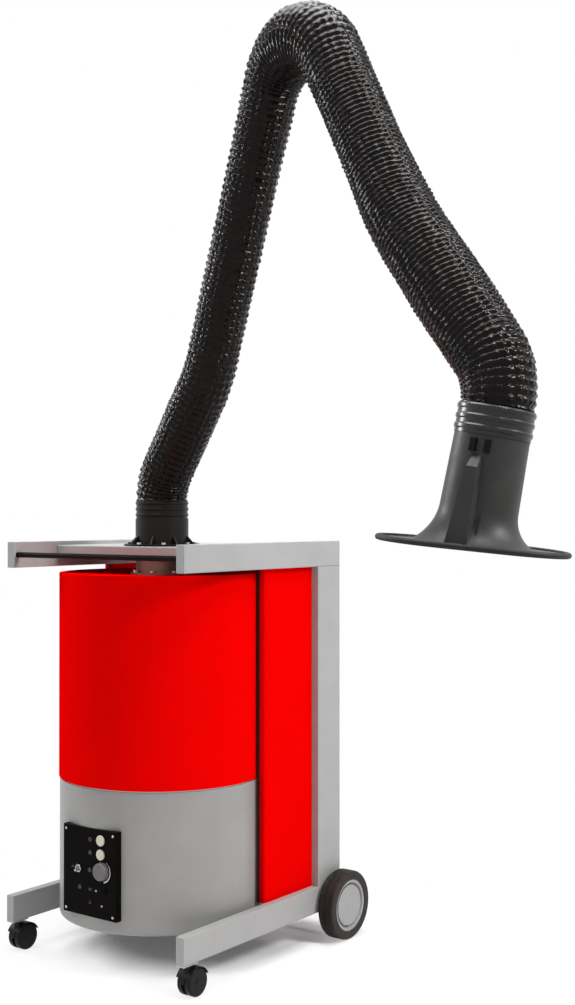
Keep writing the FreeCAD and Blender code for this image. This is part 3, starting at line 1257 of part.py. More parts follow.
def hood_latches():
    """Two small grooved clips on the neck below the cuff."""
    top = HOOD_LENGTH - LATCH_DROP
    low = top - LATCH_HEIGHT
    middle = (top + low) / 2
    body = hood_body(0.0)
    reach = HOOD_NECK_BASE_RADIUS + LATCH_PROUD
    latches = []
    for angle in LATCH_ANGLES:
        clip = block(-LATCH_WIDTH / 2, LATCH_WIDTH / 2, -reach, 0, low, top)
        groove = block(-LATCH_WIDTH / 2, LATCH_WIDTH / 2, -reach, -reach + LATCH_PROUD / 2,
                       middle - LATCH_GROOVE / 2, middle + LATCH_GROOVE / 2)
        clip = clip.cut([groove, body])
        clip.rotate(ORIGIN, Z_AXIS, angle)
        latches.append(clip)
    return Part.makeCompound(latches)


def hood_cuff():
    """Ringed cuff in which the hood turns."""
    top = HOOD_LENGTH + HOOD_CUFF_LENGTH
    sleeve = ringed_sleeve(HOOD_CUFF_RADIUS - HOOD_CUFF_WALL, HOOD_CUFF_RADIUS, HOOD_LENGTH + PART_GAP, top,
                           CUFF_RINGS, CUFF_RING)
    seat = upright(HOOD_CUFF_RADIUS - HOOD_CUFF_WALL / 2, HOOD_LENGTH, HOOD_LENGTH + HOOD_SPIGOT + PART_GAP)
    return sleeve.cut(seat)


def hood_cuff_with_fork():
    """The cuff and the fork across it that hangs it on the upper link, welded in one."""
    bar_low = HOOD_LENGTH + HOOD_SPIGOT + FORK_BAR
    fork = pivot_fork(HOOD_CUFF_RADIUS - HOOD_CUFF_WALL, bar_low, HOOD_REACH)
    return fused([moved(hood_cuff(), HOOD_ORIGIN, HOOD_FRAME), moved(fork, HOOD_ORIGIN, TILT_FRAME)])


# All pieces by name

def frame_pieces():
    """Pieces of the frame and its panels."""
    return {
        "right_top_beam": beam(1, TOP_BEAM_Z), "left_top_beam": beam(-1, TOP_BEAM_Z),
        "right_post": post(1), "left_post": post(-1),
        "right_base_beam": base_beam(1), "left_base_beam": base_beam(-1),
        "beam_end_caps": end_caps(), "handle_bar": handle_bar(), "top_plate": top_plate(),
        "drum_cross_bars": cross_bars(),
        "right_side_panel": side_panel(), "left_side_panel": mirrored(side_panel()),
    }


def drum_pieces():
    """Pieces of the drum and what it holds."""
    return {
        "filter_housing": filter_housing(), "fan_housing": fan_housing(), "cable_gland": cable_gland(),
        "separator_plate": separator_plate(), "filter_cartridge": filter_cartridge(),
        "fan_motor": fan_motor(), "fan_impeller": fan_impeller(), "inlet_duct": inlet_duct(),
        "flange_bolts": flange_bolts(),
    }


def control_pieces():
    """Pieces of the control box."""
    return {
        "control_box": control_box(), "control_board": control_board(), "panel_screws": panel_screws(),
        "start_button": push_button(BUTTON_PLACES[0]), "stop_button": push_button(BUTTON_PLACES[1]),
        "speed_knob": speed_knob(), "toggle_nut": toggle_nut(), "toggle_lever": toggle_lever(),
        "status_lamps": status_lamps(), "buzzer_cap": buzzer_cap(),
    }


def wheel_pieces():
    """Rear wheels, axle and castors."""
    return {
        "right_wheel_tyre": wheel_tyre(), "left_wheel_tyre": mirrored(wheel_tyre()),
        "right_wheel_rim": wheel_rim(), "left_wheel_rim": mirrored(wheel_rim()), "rear_axle": rear_axle(),
        "castor_plates": castor_plates(),
        "right_castor_hood": castor_hood(), "left_castor_hood": mirrored(castor_hood()),
        "right_castor_wheels": castor_wheels(), "left_castor_wheels": mirrored(castor_wheels()),
    }


def arm_pieces():
    """Pieces of the arm that turn with it on the base."""
    pieces = {
        "swivel_ring": swivel_ring(), "base_cuff": base_cuff(), "base_fork": base_fork(),
        "base_pin": moved(pivot_pin(), BASE_PIVOT, LOWER_FRAME),
        "lower_link": moved(lower_link(), BASE_PIVOT, LOWER_FRAME),
        "elbow_pin": moved(pivot_pin(), ELBOW_PIVOT, LOWER_FRAME),
        "upper_link": moved(upper_link(upper_end_twist()), ELBOW_PIVOT, UPPER_FRAME),
        "hood_pin": moved(pivot_pin(), HOOD_PIVOT, TILT_FRAME),
        "hose_base_bend": hose_span(0, PART_GAP), "hose_lower": hose_span(1, 0.0),
        "hose_elbow": hose_span(2, PART_GAP), "hose_upper": hose_span(3, 0.0),
        "hose_hood_bend": hose_span(4, 0.0),
        "hood_cuff": hood_cuff_with_fork(),
        "hood": moved(hood(), HOOD_ORIGIN, HOOD_FRAME),
        "hood_rim": moved(hood_rim(), HOOD_ORIGIN, HOOD_FRAME),
        "hood_grip": moved(hood_grip(), HOOD_ORIGIN, HOOD_FRAME),
        "hood_latches": moved(hood_latches(), HOOD_ORIGIN, HOOD_FRAME),
    }
    return {name: swung(shape) for name, shape in pieces.items()}


def all_pieces():
    """Every piece of the object by its name."""
    pieces = {"arm_base": arm_base()}
    for group in (frame_pieces(), drum_pieces(), control_pieces(), wheel_pieces(), arm_pieces()):
        pieces.update(group)
    return pieces


def main():
    """Write each piece to its own file."""
    os.makedirs("parts", exist_ok=True)
    for name, shape in all_pieces().items():
        shape.exportStep("parts/%s.step" % name)
    print("hose length %.0f mm" % HOSE_LENGTH)


if __name__ == "__main__":
    main()
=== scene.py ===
import math

import bmesh
import bpy
import numpy as np
from bpy.props import FloatProperty, FloatVectorProperty, IntProperty, PointerProperty
from mathutils import Matrix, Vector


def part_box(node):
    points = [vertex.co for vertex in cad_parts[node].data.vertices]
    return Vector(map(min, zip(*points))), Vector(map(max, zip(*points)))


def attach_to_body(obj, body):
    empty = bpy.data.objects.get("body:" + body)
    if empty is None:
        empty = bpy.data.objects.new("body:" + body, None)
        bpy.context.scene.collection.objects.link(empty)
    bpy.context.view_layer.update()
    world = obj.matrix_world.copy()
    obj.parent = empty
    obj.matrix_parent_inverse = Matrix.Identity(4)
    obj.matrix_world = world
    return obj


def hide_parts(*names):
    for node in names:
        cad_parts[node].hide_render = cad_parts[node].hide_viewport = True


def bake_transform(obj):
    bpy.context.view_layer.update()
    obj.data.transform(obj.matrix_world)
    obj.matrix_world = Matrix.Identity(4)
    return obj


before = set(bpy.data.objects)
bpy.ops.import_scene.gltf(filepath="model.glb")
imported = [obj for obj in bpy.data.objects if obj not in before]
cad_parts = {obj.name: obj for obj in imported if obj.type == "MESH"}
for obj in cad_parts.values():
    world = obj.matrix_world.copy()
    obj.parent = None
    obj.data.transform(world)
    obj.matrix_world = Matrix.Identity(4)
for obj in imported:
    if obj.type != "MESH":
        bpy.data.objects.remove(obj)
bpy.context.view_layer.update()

bl_info = {
    "name": "Mobile fume extractor",
    "version": (1, 0, 0),
    "blender": (4, 5, 0),
    "location": "View3D > Sidebar > Extractor",
    "description": "Dresses the packed fume extractor with its hose, panel marks and finishes",
    "category": "Object",
}

# Lengths are in metres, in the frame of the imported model: Z up, front towards -Y.

# Arm in its own axes of reach, across and height, before it is turned to its azimuth
ARM_AZIMUTH = math.radians(-19.34)
BASE_PIVOT = np.array((0.0, 0.0, 1.368))
LOWER_ARM = 1.4734
LOWER_LEAN = math.radians(29.92)
UPPER_ARM = 1.2774
UPPER_DROP = math.radians(38.72)
HOOD_LEAN = math.radians(7.69)
HOOD_ROLL = math.radians(6.9)

# Route of the hose: its foot, its corners off the pivots and links with their radii, and its end
HOSE_START = 1.3853
BASE_RISE = 0.057
BASE_RADIUS = 0.140
LOWER_REACH = 0.470
LOWER_BULGE = 0.055
LOWER_RADIUS = 0.400
ELBOW_OFFSET = (0.002, 0.0, 0.142)
ELBOW_RADIUS = 0.162
UPPER_REACH = 0.745
UPPER_BULGE = 0.021
UPPER_RADIUS = 0.800
HOOD_RADIUS = 0.160
HOSE_END = 0.0727

# Spans of the hose: their ends as shares of its length, and the wires counted to each end
SPAN_NAMES = ("base_bend", "lower", "elbow", "upper", "hood_bend")
SPAN_SHARES = (0.0, 0.1983, 0.4138, 0.6293, 0.9483, 1.0)
WIRE_COUNT = (0, 26, 56, 89, 148, 158)

# Swelling of the hose: share of its length, and radius there
SWELLING = np.array((
    (0.0, 0.080), (0.121, 0.080), (0.19, 0.076), (0.397, 0.076), (0.467, 0.079), (0.503, 0.090),
    (0.526, 0.097), (0.56, 0.092), (0.589, 0.085), (0.638, 0.083), (0.705, 0.0825), (0.775, 0.0885),
    (0.845, 0.091), (0.892, 0.092), (0.939, 0.0885), (0.984, 0.084), (1.0, 0.082)))

# Cloth between two wires: how far its crests lie inside the hose's radius, and the power of its sag
CREST_INSET = 0.0008
SAG_POWER = 1.5

# Creases of the cloth: waves round the hose, their heights, and the share of these left to the dents
CREASE_WAVES = (7, 13, 18, 22, 26, 31)
CREASE_HEIGHTS = (0.3, 0.4, 0.5, 0.5, 0.6, 0.5)
DENT_SHARE = 0.5

# Phases of the creases: seed, span, drift from wire to wire, and wires drawn beyond the last
CREASE_SEED = 7
PHASE_SPAN = 6.28
CREASE_DRIFT = 0.8
SPARE_WIRES = 4

# Stretches of the hose's bends around the joints inside them, passed to the bend step
BASE_BLEND_TOP = 1.450
ELBOW_BLEND = (0.630, 0.884)
ELBOW_BLEND_HEIGHT = 2.6
HOOD_BLEND = (0.034, 0.033)

# Rolled rim on the top edge of the drum
RIM_WIDTH = 0.005
RIM_RISE = 0.007
RIM_ROOT = 0.0045

# Dark strip of painted shade on the free edge of a side panel, beside the drum, where the gap lies in shade
STRIP_WIDTH = 0.012
STRIP_RISE = 0.0025
STRIP_ROOT = 0.0005
STRIP_BEVEL = 0.0008

# Places on the control panel, across and up from its centre, and sizes of its print
PANEL_FACE = -0.315
PANEL_CENTRE = 0.301
PRINT_ROOT = 0.00005
PRINT_HEIGHT = 0.00025
KNOB_PLACE = (0.052, 0.010)
SCALE_RADIUS = 0.0315
SCALE_TURN = (62.0, -78.0)
SCALE_WIDTHS = (0.0006, 0.0042)
SCALE_STEPS = 40
MARK_PLACES = ((0.003, 0.096), (0.003, 0.058), (0.001, 0.007), (0.003, -0.049), (0.003, -0.088),
               (-0.068, 0.008), (-0.039, -0.048))
MARK_SIZE = 0.0052
MARK_LINE = 0.0011

# Grain of the finishes: noise cells in a metre, height of the relief, and the cloth's range of roughness
PEEL_GRAIN = 900.0
PEEL_RELIEF = 0.00002
PLASTIC_GRAIN = 1400.0
PLASTIC_RELIEF = 0.00004
BRUSH_GRAIN = 60.0
BRUSH_RELIEF = 0.00004
CLOTH_GLOSS = (0.11, 0.19)
WEAVE_GRAIN = 260.0
WEAVE_RELIEF = 0.0002
RUBBER_GRAIN = 800.0
RUBBER_RELIEF = 0.00012
TYRE_GROOVE = 0.0085
GROOVE_RELIEF = 0.0026

# Scale of the wave texture at which its bands lie a metre apart
WAVE_UNIT = 0.314

# Values between which most of a noise field lies
NOISE_LOW = 0.3
NOISE_HIGH = 0.7

# Lamps: place, point aimed at, and size across and up
LAMPS = {
    "key": ((4.4, 0.7, 3.7), (0.2, 0.0, 1.2), (1.2, 1.2)),
    "front": ((-1.2, -3.4, 5.0), (0.3, 0.0, 1.4), (0.2, 1.2)),
    "top": ((0.3, -0.1, 5.2), (0.2, 0.0, 0.0), (2.8, 2.8)),
    "crown": ((2.5, -0.1, 5.0), (0.8, -0.2, 2.0), (0.5, 1.0)),
    "left": ((-3.5, -0.9, 2.9), (0.3, 0.0, 1.9), (0.9, 1.1)),
}

# Camera: long side of its sensor in millimetres, and how far it sees
SENSOR = 36.0
VIEW_END = 100.0

# Floor, and its fades to white near the shadow and further off: centre, two distances, greatest share
FLOOR_HALF = 20.0
FLOOR_COLOUR = (0.9, 0.9, 0.9, 1.0)
FLOOR_LIFT = 0.05
NEAR_FADE = ((0.0, 0.25, 0.0), 0.30, 0.55, 0.8)
FAR_FADE = ((0.0, 0.0, 0.0), 0.50, 1.05, 1.0)


def colour(name, words, default):
    """Colour property with its default."""
    return FloatVectorProperty(name=name, description=words, subtype="COLOR", size=3, min=0.0, max=1.0,
                               default=default)


def length(name, words, default):
    """Length property with its default."""
    return FloatProperty(name=name, description=words, unit="LENGTH", default=default)


def power(name, words, default):
    """Property for the power of a lamp, with its default."""
    return FloatProperty(name=name, description=words, unit="POWER", default=default)


class HoseSizes(bpy.types.PropertyGroup):
    """Form of the ribbed hose."""
    rows_per_rib: IntProperty(name="Rows per rib", description="Mesh rows between two wires", default=8,
                              min=4)
    around: IntProperty(name="Around", description="Mesh columns round the hose", default=180, min=12)
    sag: length("Sag", "Depth of the cloth between two wires", 0.0038)
    crumple: length("Crumple", "Height of the creases in the cloth", 0.0015)
    wall: length("Wall", "Distance from the crest to the inner skin", 0.0105)


class Paints(bpy.types.PropertyGroup):
    """Colours of the finishes."""
    frame_grey: colour("Frame", "Light grey paint of the box frame", (0.335, 0.335, 0.333))
    drum_red: colour("Red", "Red paint of the drum and side panels", (0.72, 0.0006, 0.0006))
    drum_grey: colour("Drum grey", "Metallic paint of the lower drum", (0.288, 0.285, 0.279))
    black: colour("Black", "Black paint and plastic", (0.0085, 0.0068, 0.0060))
    hood_black: colour("Hood", "Dark plastic of the hood", (0.030, 0.0285, 0.0275))
    rim_black: colour("Hood rim", "Rubber of the hood's rim", (0.014, 0.016, 0.014))
    hose_black: colour("Hose", "Coated cloth of the hose", (0.0052, 0.0036, 0.0031))
    tyre_black: colour("Tyre", "Rubber of the rear tyres", (0.022, 0.0165, 0.0138))
    # Dark strips beside the drum: painted shade of the gaps between the drum and the side panels
    painted_shade_dark: colour("Strip", "Rubber strips beside the drum", (0.030, 0.004, 0.004))
    rim_grey: colour("Rim", "Grey moulding of the rear rims", (0.34, 0.34, 0.345))
    knob_grey: colour("Knob", "Grey moulding of the speed knob", (0.14, 0.136, 0.132))
    cream: colour("Cream", "Caps of the push buttons", (0.62, 0.59, 0.49))
    lens: colour("Lamp", "Lenses of the status lamps", (0.55, 0.50, 0.40))
    board: colour("Board", "Lacquer of the control board", (0.03, 0.16, 0.06))
    filter_cloth: colour("Filter", "Cloth of the filter cartridge", (0.66, 0.64, 0.58))
    # Brownish steel of the inlet duct; its darkness is partly painted shade of the top plate above it
    duct_steel: colour("Duct", "Brownish steel of the inlet duct", (0.20, 0.155, 0.13))
    plain_steel: colour("Plain steel", "Steel inside the drum", (0.48, 0.48, 0.48))
    plate_steel: colour("Plates", "Steel of the castor plates", (0.5, 0.5, 0.5))
    bolt_steel: colour("Bolts", "Steel of the flange bolts", (0.6, 0.6, 0.6))
    link_steel: colour("Links", "Steel of the links inside the hose", (0.20, 0.20, 0.20))
    bright_metal: colour("Bright metal", "Nut, lever and screws of the panel", (0.45, 0.44, 0.43))
    print_grey: colour("Print", "Small marks printed on the panel", (0.16, 0.16, 0.16))
    print_white: colour("Scale", "Scale printed round the knob", (0.72, 0.72, 0.72))


class StageSizes(bpy.types.PropertyGroup):
    """Camera and light."""
    lens: FloatProperty(name="Lens", description="Focal length on a 36 mm long side", default=48.284)
    camera: FloatVectorProperty(name="Camera", description="Place of the camera", size=3, unit="LENGTH",
                                default=(2.8134, -3.1333, 1.3439))
    azimuth: FloatProperty(name="Azimuth", description="Turn of the camera about Z", subtype="ANGLE",
                           default=math.radians(36.605))
    elevation: FloatProperty(name="Elevation", description="Tilt of the camera's seat above the horizon",
                             subtype="ANGLE", default=math.radians(-0.512))
    key: power("Key", "Power of the main lamp on the right", 155.0)
    front: power("Front", "Power of the narrow lamp in front", 55.0)
    left: power("Left", "Power of the lamp on the left", 82.0)
    crown: power("Crown", "Power of the lamp above the arm", 60.0)
    top: power("Top", "Power of the broad lamp overhead", 210.0)
    sky: FloatProperty(name="Sky", description="Strength of the even light from all round", default=0.20)


# Meshes

def mesh_object(name, points, faces, smooth=True):
    """Mesh object at the origin from arrays of points and of quad or triangle corners."""
    mesh = bpy.data.meshes.new(name)
    mesh.from_pydata(points.reshape(-1, 3).tolist(), [], faces.tolist())
    shell = bmesh.new()
    shell.from_mesh(mesh)
    bmesh.ops.recalc_face_normals(shell, faces=shell.faces)
    shell.to_mesh(mesh)
    shell.free()
    mesh.polygons.foreach_set("use_smooth", np.full(len(mesh.polygons), smooth))
    mesh.update()
    piece = bpy.data.objects.new(name, mesh)
    bpy.context.scene.collection.objects.link(piece)
    return piece


def ring_quads(rows, columns, closed_rows=False):
    """Quads of a grid whose columns close on themselves, and whose rows do where asked."""
    last = rows if closed_rows else rows - 1
    i, j = np.meshgrid(np.arange(last), np.arange(columns), indexing="ij")
    up = (i + 1) % rows
    side = (j + 1) % columns
    corners = (i * columns + j, i * columns + side, up * columns + side, up * columns + j)
    return np.stack(corners, -1).reshape(-1, 4)


def rolled_rim(name, radius, edge, around=160, section=24):
    """Rounded ring on the top edge of the drum.

    A point of its section lies across and up from the middle by half the width and half the height, times
    the root of the cosine or sine of an angle with its sign. The section is carried round the drum."""
    turn = np.linspace(0, 2 * math.pi, section, endpoint=False)
    c, s = np.cos(turn), np.sin(turn)
    across = radius - RIM_WIDTH / 2 * (1 - np.sign(c) * np.sqrt(np.abs(c)))
    half = (RIM_ROOT + RIM_RISE) / 2
    up = edge - RIM_ROOT + half * (1 + np.sign(s) * np.sqrt(np.abs(s)))
    angle = np.linspace(0, 2 * math.pi, around, endpoint=False)[:, None]
    height = np.broadcast_to(up, (around, section))
    points = np.stack((across * np.cos(angle), across * np.sin(angle), height), -1)
    return mesh_object(name, points, ring_quads(around, section, closed_rows=True))


def painted_shade_strip(name, edge, side, front, low, high):
    """Upright dark strip of painted shade on the front of a side panel, from its free edge outwards.

    Its section is a rectangle with bevelled corners, drawn at both ends. Quads join the two, and three
    quads cap each."""
    outer = edge + side * STRIP_WIDTH
    inner_bevel = edge + side * STRIP_BEVEL
    outer_bevel = outer - side * STRIP_BEVEL
    x = np.array((inner_bevel, outer_bevel, outer, outer, outer_bevel, inner_bevel, edge, edge))
    face, root = front - STRIP_RISE, front + STRIP_ROOT
    y = np.array((face, face, face + STRIP_BEVEL, front, root, root, front, face + STRIP_BEVEL))
    points = np.stack([np.stack((x, y, np.full(len(x), z)), 1) for z in (low, high)])
    caps = np.array(((0, 1, 2, 7), (7, 2, 3, 6), (6, 3, 4, 5)))
    faces = np.concatenate((ring_quads(2, len(x)), caps, caps + len(x)))
    return mesh_object(name, points, faces, smooth=False)


def printed_band(path, widths, closed=False):
    """Corners and faces of a thin printed line on the panel.

    Each point of the path, given across and up from the panel's centre, carries a rectangle as wide as
    asked and as high as the print, square to the path. Neighbours are joined and open ends are capped."""
    path = np.array(path)
    if closed:
        ahead = np.roll(path, -1, 0) - np.roll(path, 1, 0)
    else:
        ahead = np.gradient(path, axis=0)
    ahead /= np.linalg.norm(ahead, axis=1, keepdims=True)
    side = np.stack((-ahead[:, 1], ahead[:, 0]), 1) * np.broadcast_to(widths, len(path))[:, None] / 2
    rims = np.stack((path - side, path + side, path + side, path - side), 1)
    depth = np.broadcast_to((PRINT_ROOT, PRINT_ROOT, -PRINT_HEIGHT, -PRINT_HEIGHT), rims.shape[:2])
    corners = np.stack((rims[..., 0], PANEL_FACE + depth, PANEL_CENTRE + rims[..., 1]), -1)
    faces = ring_quads(len(path), 4, closed_rows=closed)
    if not closed:
        cap = np.arange(4)
        faces = np.concatenate((faces, (cap, cap + 4 * (len(path) - 1))))
    return corners.reshape(-1, 3), faces


def round_path(centre, radius, first=0.0, last=360.0, steps=32):
    """Points on a circle or an arc of it, by angles in degrees."""
    angle = np.radians(np.linspace(first, last, steps, endpoint=last - first < 360.0))
    return np.stack((centre[0] + radius * np.cos(angle), centre[1] + radius * np.sin(angle)), 1)


def joined_bands(name, bands):
    """One mesh object from several printed bands."""
    points, faces, count = [], [], 0
    for corners, quads in bands:
        points.append(corners)
        faces.append(quads + count)
        count += len(corners)
    return mesh_object(name, np.concatenate(points), np.concatenate(faces), smooth=False)


# Route of the hose

def unit(vector):
    """Vector of length one."""
    return vector / np.linalg.norm(vector)


def in_plane(angle):
    """Direction in the arm's plane, by its angle from straight up towards the reach."""
    return np.array((math.sin(angle), 0.0, math.cos(angle)))


ELBOW_PIVOT = BASE_PIVOT + in_plane(LOWER_LEAN) * LOWER_ARM
UPPER_WAY = in_plane(math.pi - UPPER_DROP)
HOOD_PIVOT = ELBOW_PIVOT + UPPER_WAY * UPPER_ARM
HOOD_WAY = np.array((-math.sin(HOOD_LEAN), -math.sin(HOOD_ROLL),
                     -math.sqrt(1 - math.sin(HOOD_LEAN) ** 2 - math.sin(HOOD_ROLL) ** 2)))


def from_arm(points):
    """Points of the arm's own axes, turned about Z to the azimuth of the arm."""
    c, s = math.cos(ARM_AZIMUTH), math.sin(ARM_AZIMUTH)
    turn = np.array(((c, -s, 0.0), (s, c, 0.0), (0.0, 0.0, 1.0)))
    return points @ turn.T


def hose_runs():
    """Straight runs and arcs of the hose: each one's length, start, direction, inward side and radius.

    The arc at a corner starts before it by its radius times the tangent of half the turn."""
    start = np.array((0.0, 0.0, HOSE_START))
    lower_side = in_plane(LOWER_LEAN + math.pi / 2)
    upper_side = in_plane(1.5 * math.pi - UPPER_DROP)
    corners = [(start + (0.0, 0.0, BASE_RISE), BASE_RADIUS),
               (BASE_PIVOT + in_plane(LOWER_LEAN) * LOWER_REACH + lower_side * LOWER_BULGE, LOWER_RADIUS),
               (ELBOW_PIVOT + ELBOW_OFFSET, ELBOW_RADIUS),
               (ELBOW_PIVOT + UPPER_WAY * UPPER_REACH + upper_side * UPPER_BULGE, UPPER_RADIUS),
               (HOOD_PIVOT, HOOD_RADIUS)]
    end = HOOD_PIVOT + HOOD_WAY * HOSE_END
    points = [start] + [corner for corner, _ in corners] + [end]
    runs = []
    here = start
    for before, (corner, radius), after in zip(points, corners, points[2:]):
        ahead = unit(corner - before)
        onward = unit(after - corner)
        turn = math.acos(float(np.dot(ahead, onward)))
        setback = radius * math.tan(turn / 2)
        entry = corner - ahead * setback
        runs.append((np.linalg.norm(entry - here), here, ahead, np.zeros(3), 0.0))
        runs.append((radius * turn, entry, ahead, unit(onward - ahead * np.dot(ahead, onward)), radius))
        here = corner + onward * setback
    runs.append((np.linalg.norm(end - here), here, unit(end - here), np.zeros(3), 0.0))
    return runs


RUNS = hose_runs()
HOSE_LENGTH = sum(run[0] for run in RUNS)
SPAN_MARKS = np.array(SPAN_SHARES) * HOSE_LENGTH


def hose_line(s):
    """Points and directions of the hose's centre line at distances s.

    A run adds its direction times the distance; an arc adds ahead times the sine and inward times one
    less the cosine of distance over radius, both times the radius."""
    points = np.zeros((len(s), 3))
    ways = np.zeros((len(s), 3))
    left = np.array(s, float)
    open_ones = np.ones(len(s), bool)
    for number, (span, start, ahead, inward, radius) in enumerate(RUNS):
        here = open_ones & ((left <= span) | (number == len(RUNS) - 1))
        d = left[here][:, None]
        if radius:
            angle = d / radius
            points[here] = start + (ahead * np.sin(angle) + inward * (1 - np.cos(angle))) * radius
            ways[here] = ahead * np.cos(angle) + inward * np.sin(angle)
        else:
            points[here] = start + ahead * d
            ways[here] = ahead
        open_ones &= ~here
        left = left - span
    return points, ways


def crest_radius(s):
    """Radius over the wires at distances along the hose, straight between the marks of its swelling."""
    return np.interp(s, SWELLING[:, 0] * HOSE_LENGTH, SWELLING[:, 1])


def cloth_radius(s, angle, sizes):
    """Radius of the cloth at distances along the hose and angles round it.

    The wires hold the cloth out. Between two of them it sags by half of one less the cosine of the turn
    that leads from wire to wire, to the power of three halves. Sums of cosines round the hose, with phases
    that drift from one wire to the next, break the crests into short lengths, and others dent the fields."""
    wires = np.interp(s, SPAN_MARKS, WIRE_COUNT)
    field = np.floor(wires).astype(int)
    share = wires - field
    belly = (0.5 - 0.5 * np.cos(2 * math.pi * share[:, None])) ** SAG_POWER
    draws = np.random.default_rng(CREASE_SEED)
    table = (WIRE_COUNT[-1] + SPARE_WIRES, len(CREASE_WAVES))
    drift = np.cumsum(draws.normal(0, CREASE_DRIFT, table), 0)
    phases = drift + draws.uniform(0, PHASE_SPAN, len(CREASE_WAVES))
    dents = draws.uniform(0, PHASE_SPAN, table)
    crease = np.zeros((len(s), len(angle)))
    crest = np.zeros((len(s), len(angle)))
    nearest = field + 1 + (share > 0.5)
    for k, (wave, height) in enumerate(zip(CREASE_WAVES, CREASE_HEIGHTS)):
        crease += height * np.cos(wave * angle[None, :] + dents[field + 1, k][:, None])
        crest += height * np.cos(wave * angle[None, :] + phases[nearest, k][:, None])
    held = crest_radius(s)[:, None] - CREST_INSET - sizes.sag * belly
    return held + sizes.crumple * (DENT_SHARE * crease * belly ** 2 + crest * (1 - belly) ** 2)


def hose_piece(name, number, sizes):
    """Closed skin of one span of the hose: cloth outside, a smooth lining inside.

    A point adds to the centre line its radius times the cosine of an angle across the arm, and times its
    sine square to both. The cloth's rows lead on, the lining's lead back, and the last meets the first."""
    first, last = SPAN_MARKS[number:number + 2]
    wires = WIRE_COUNT[number + 1] - WIRE_COUNT[number]
    rows = np.linspace(first, last, wires * sizes.rows_per_rib + 1)
    back = np.linspace(last, first, wires + 1)
    angle = np.linspace(0, 2 * math.pi, sizes.around, endpoint=False)
    outer = cloth_radius(rows, angle, sizes)
    inner = np.repeat((crest_radius(back) - sizes.wall)[:, None], len(angle), 1)
    radius = np.concatenate((outer, inner))
    points, ways = hose_line(np.concatenate((rows, back)))
    across = np.array((0.0, 1.0, 0.0)) - ways * ways[:, 1:2]
    across /= np.linalg.norm(across, axis=1, keepdims=True)
    other = np.cross(ways, across)
    c, s = np.cos(angle)[None, :, None], np.sin(angle)[None, :, None]
    ring = across[:, None, :] * c + other[:, None, :] * s
    skin = points[:, None, :] + ring * radius[:, :, None]
    return mesh_object(name, from_arm(skin), ring_quads(len(points), len(angle), closed_rows=True))


# Materials

def link(tree, source, target):
    """Join two sockets."""
    tree.links.new(source, target)


def combined(tree, operation, first, second):
    """Result of a calculation with two sockets, or with a socket and a number."""
    node = tree.nodes.new("ShaderNodeMath")
    node.operation = operation
    link(tree, first, node.inputs[0])
    if isinstance(second, float):
        node.inputs[1].default_value = second
    else:
        link(tree, second, node.inputs[1])
    return node.outputs["Value"]


def shader(name, base, roughness, metallic=0.0, specular=0.5):
    """Empty finish with its fixed values set, returned with its nodes and object coordinates."""
    material = bpy.data.materials.new(name)
    material.use_nodes = True
    tree = material.node_tree
    principled = tree.nodes["Principled BSDF"]
    principled.inputs["Base Color"].default_value = (*base, 1.0)
    principled.inputs["Roughness"].default_value = roughness
    principled.inputs["Metallic"].default_value = metallic
    principled.inputs["Specular IOR Level"].default_value = specular
    place = tree.nodes.new("ShaderNodeTexCoord")
    return material, tree, principled, place.outputs["Object"]


def noise(tree, place, scale, detail=3.0, rough=0.55):
    """Noise field on the given coordinates."""
    node = tree.nodes.new("ShaderNodeTexNoise")
    node.inputs["Scale"].default_value = scale
    node.inputs["Detail"].default_value = detail
    node.inputs["Roughness"].default_value = rough
    link(tree, place, node.inputs["Vector"])
    return node.outputs["Fac"]


def stretched(tree, place, scale):
    """Coordinates times a factor on each axis."""
    node = tree.nodes.new("ShaderNodeMapping")
    node.inputs["Scale"].default_value = scale
    link(tree, place, node.inputs["Vector"])
    return node.outputs["Vector"]


def ranged(tree, field, low, high):
    """Noise field mapped to a range."""
    node = tree.nodes.new("ShaderNodeMapRange")
    node.inputs["From Min"].default_value = NOISE_LOW
    node.inputs["From Max"].default_value = NOISE_HIGH
    node.inputs["To Min"].default_value = low
    node.inputs["To Max"].default_value = high
    link(tree, field, node.inputs["Value"])
    return node.outputs["Result"]


def scaled(base, factor):
    """Colour times a factor, kept in range."""
    return tuple(min(1.0, c * factor) for c in base)


def tinted(tree, principled, field, base, shades):
    """Base colour that follows a field between two shades, given as factors of it."""
    node = tree.nodes.new("ShaderNodeMix")
    node.data_type = "RGBA"
    link(tree, ranged(tree, field, 0.0, 1.0), node.inputs["Factor"])
    for socket, shade in zip("AB", shades):
        node.inputs[socket].default_value = (*scaled(base, shade), 1.0)
    link(tree, node.outputs["Result"], principled.inputs["Base Color"])


def glossed(tree, principled, field, roughness, shares):
    """Roughness that follows a field between two shares of its value."""
    low, high = (roughness * share for share in shares)
    link(tree, ranged(tree, field, low, high), principled.inputs["Roughness"])


def bumped(tree, principled, height, distance, strength=1.0):
    """Surface relief from a height field."""
    node = tree.nodes.new("ShaderNodeBump")
    node.inputs["Strength"].default_value = strength
    node.inputs["Distance"].default_value = distance
    link(tree, height, node.inputs["Height"])
    link(tree, node.outputs["Normal"], principled.inputs["Normal"])


def paint(name, base, roughness, spread=0.05, metallic=0.0, specular=0.4):
    """Sprayed finish: faint cloudy colour, uneven gloss and orange peel."""
    material, tree, principled, place = shader(name, base, roughness, metallic, specular)
    clouds = noise(tree, place, scale=7.0, detail=4.0)
    tinted(tree, principled, clouds, base, shades=(1 - spread, 1 + spread))
    glossed(tree, principled, noise(tree, place, scale=23.0), roughness, shares=(0.85, 1.15))
    bumped(tree, principled, noise(tree, place, PEEL_GRAIN, detail=2.0), PEEL_RELIEF)
    return material


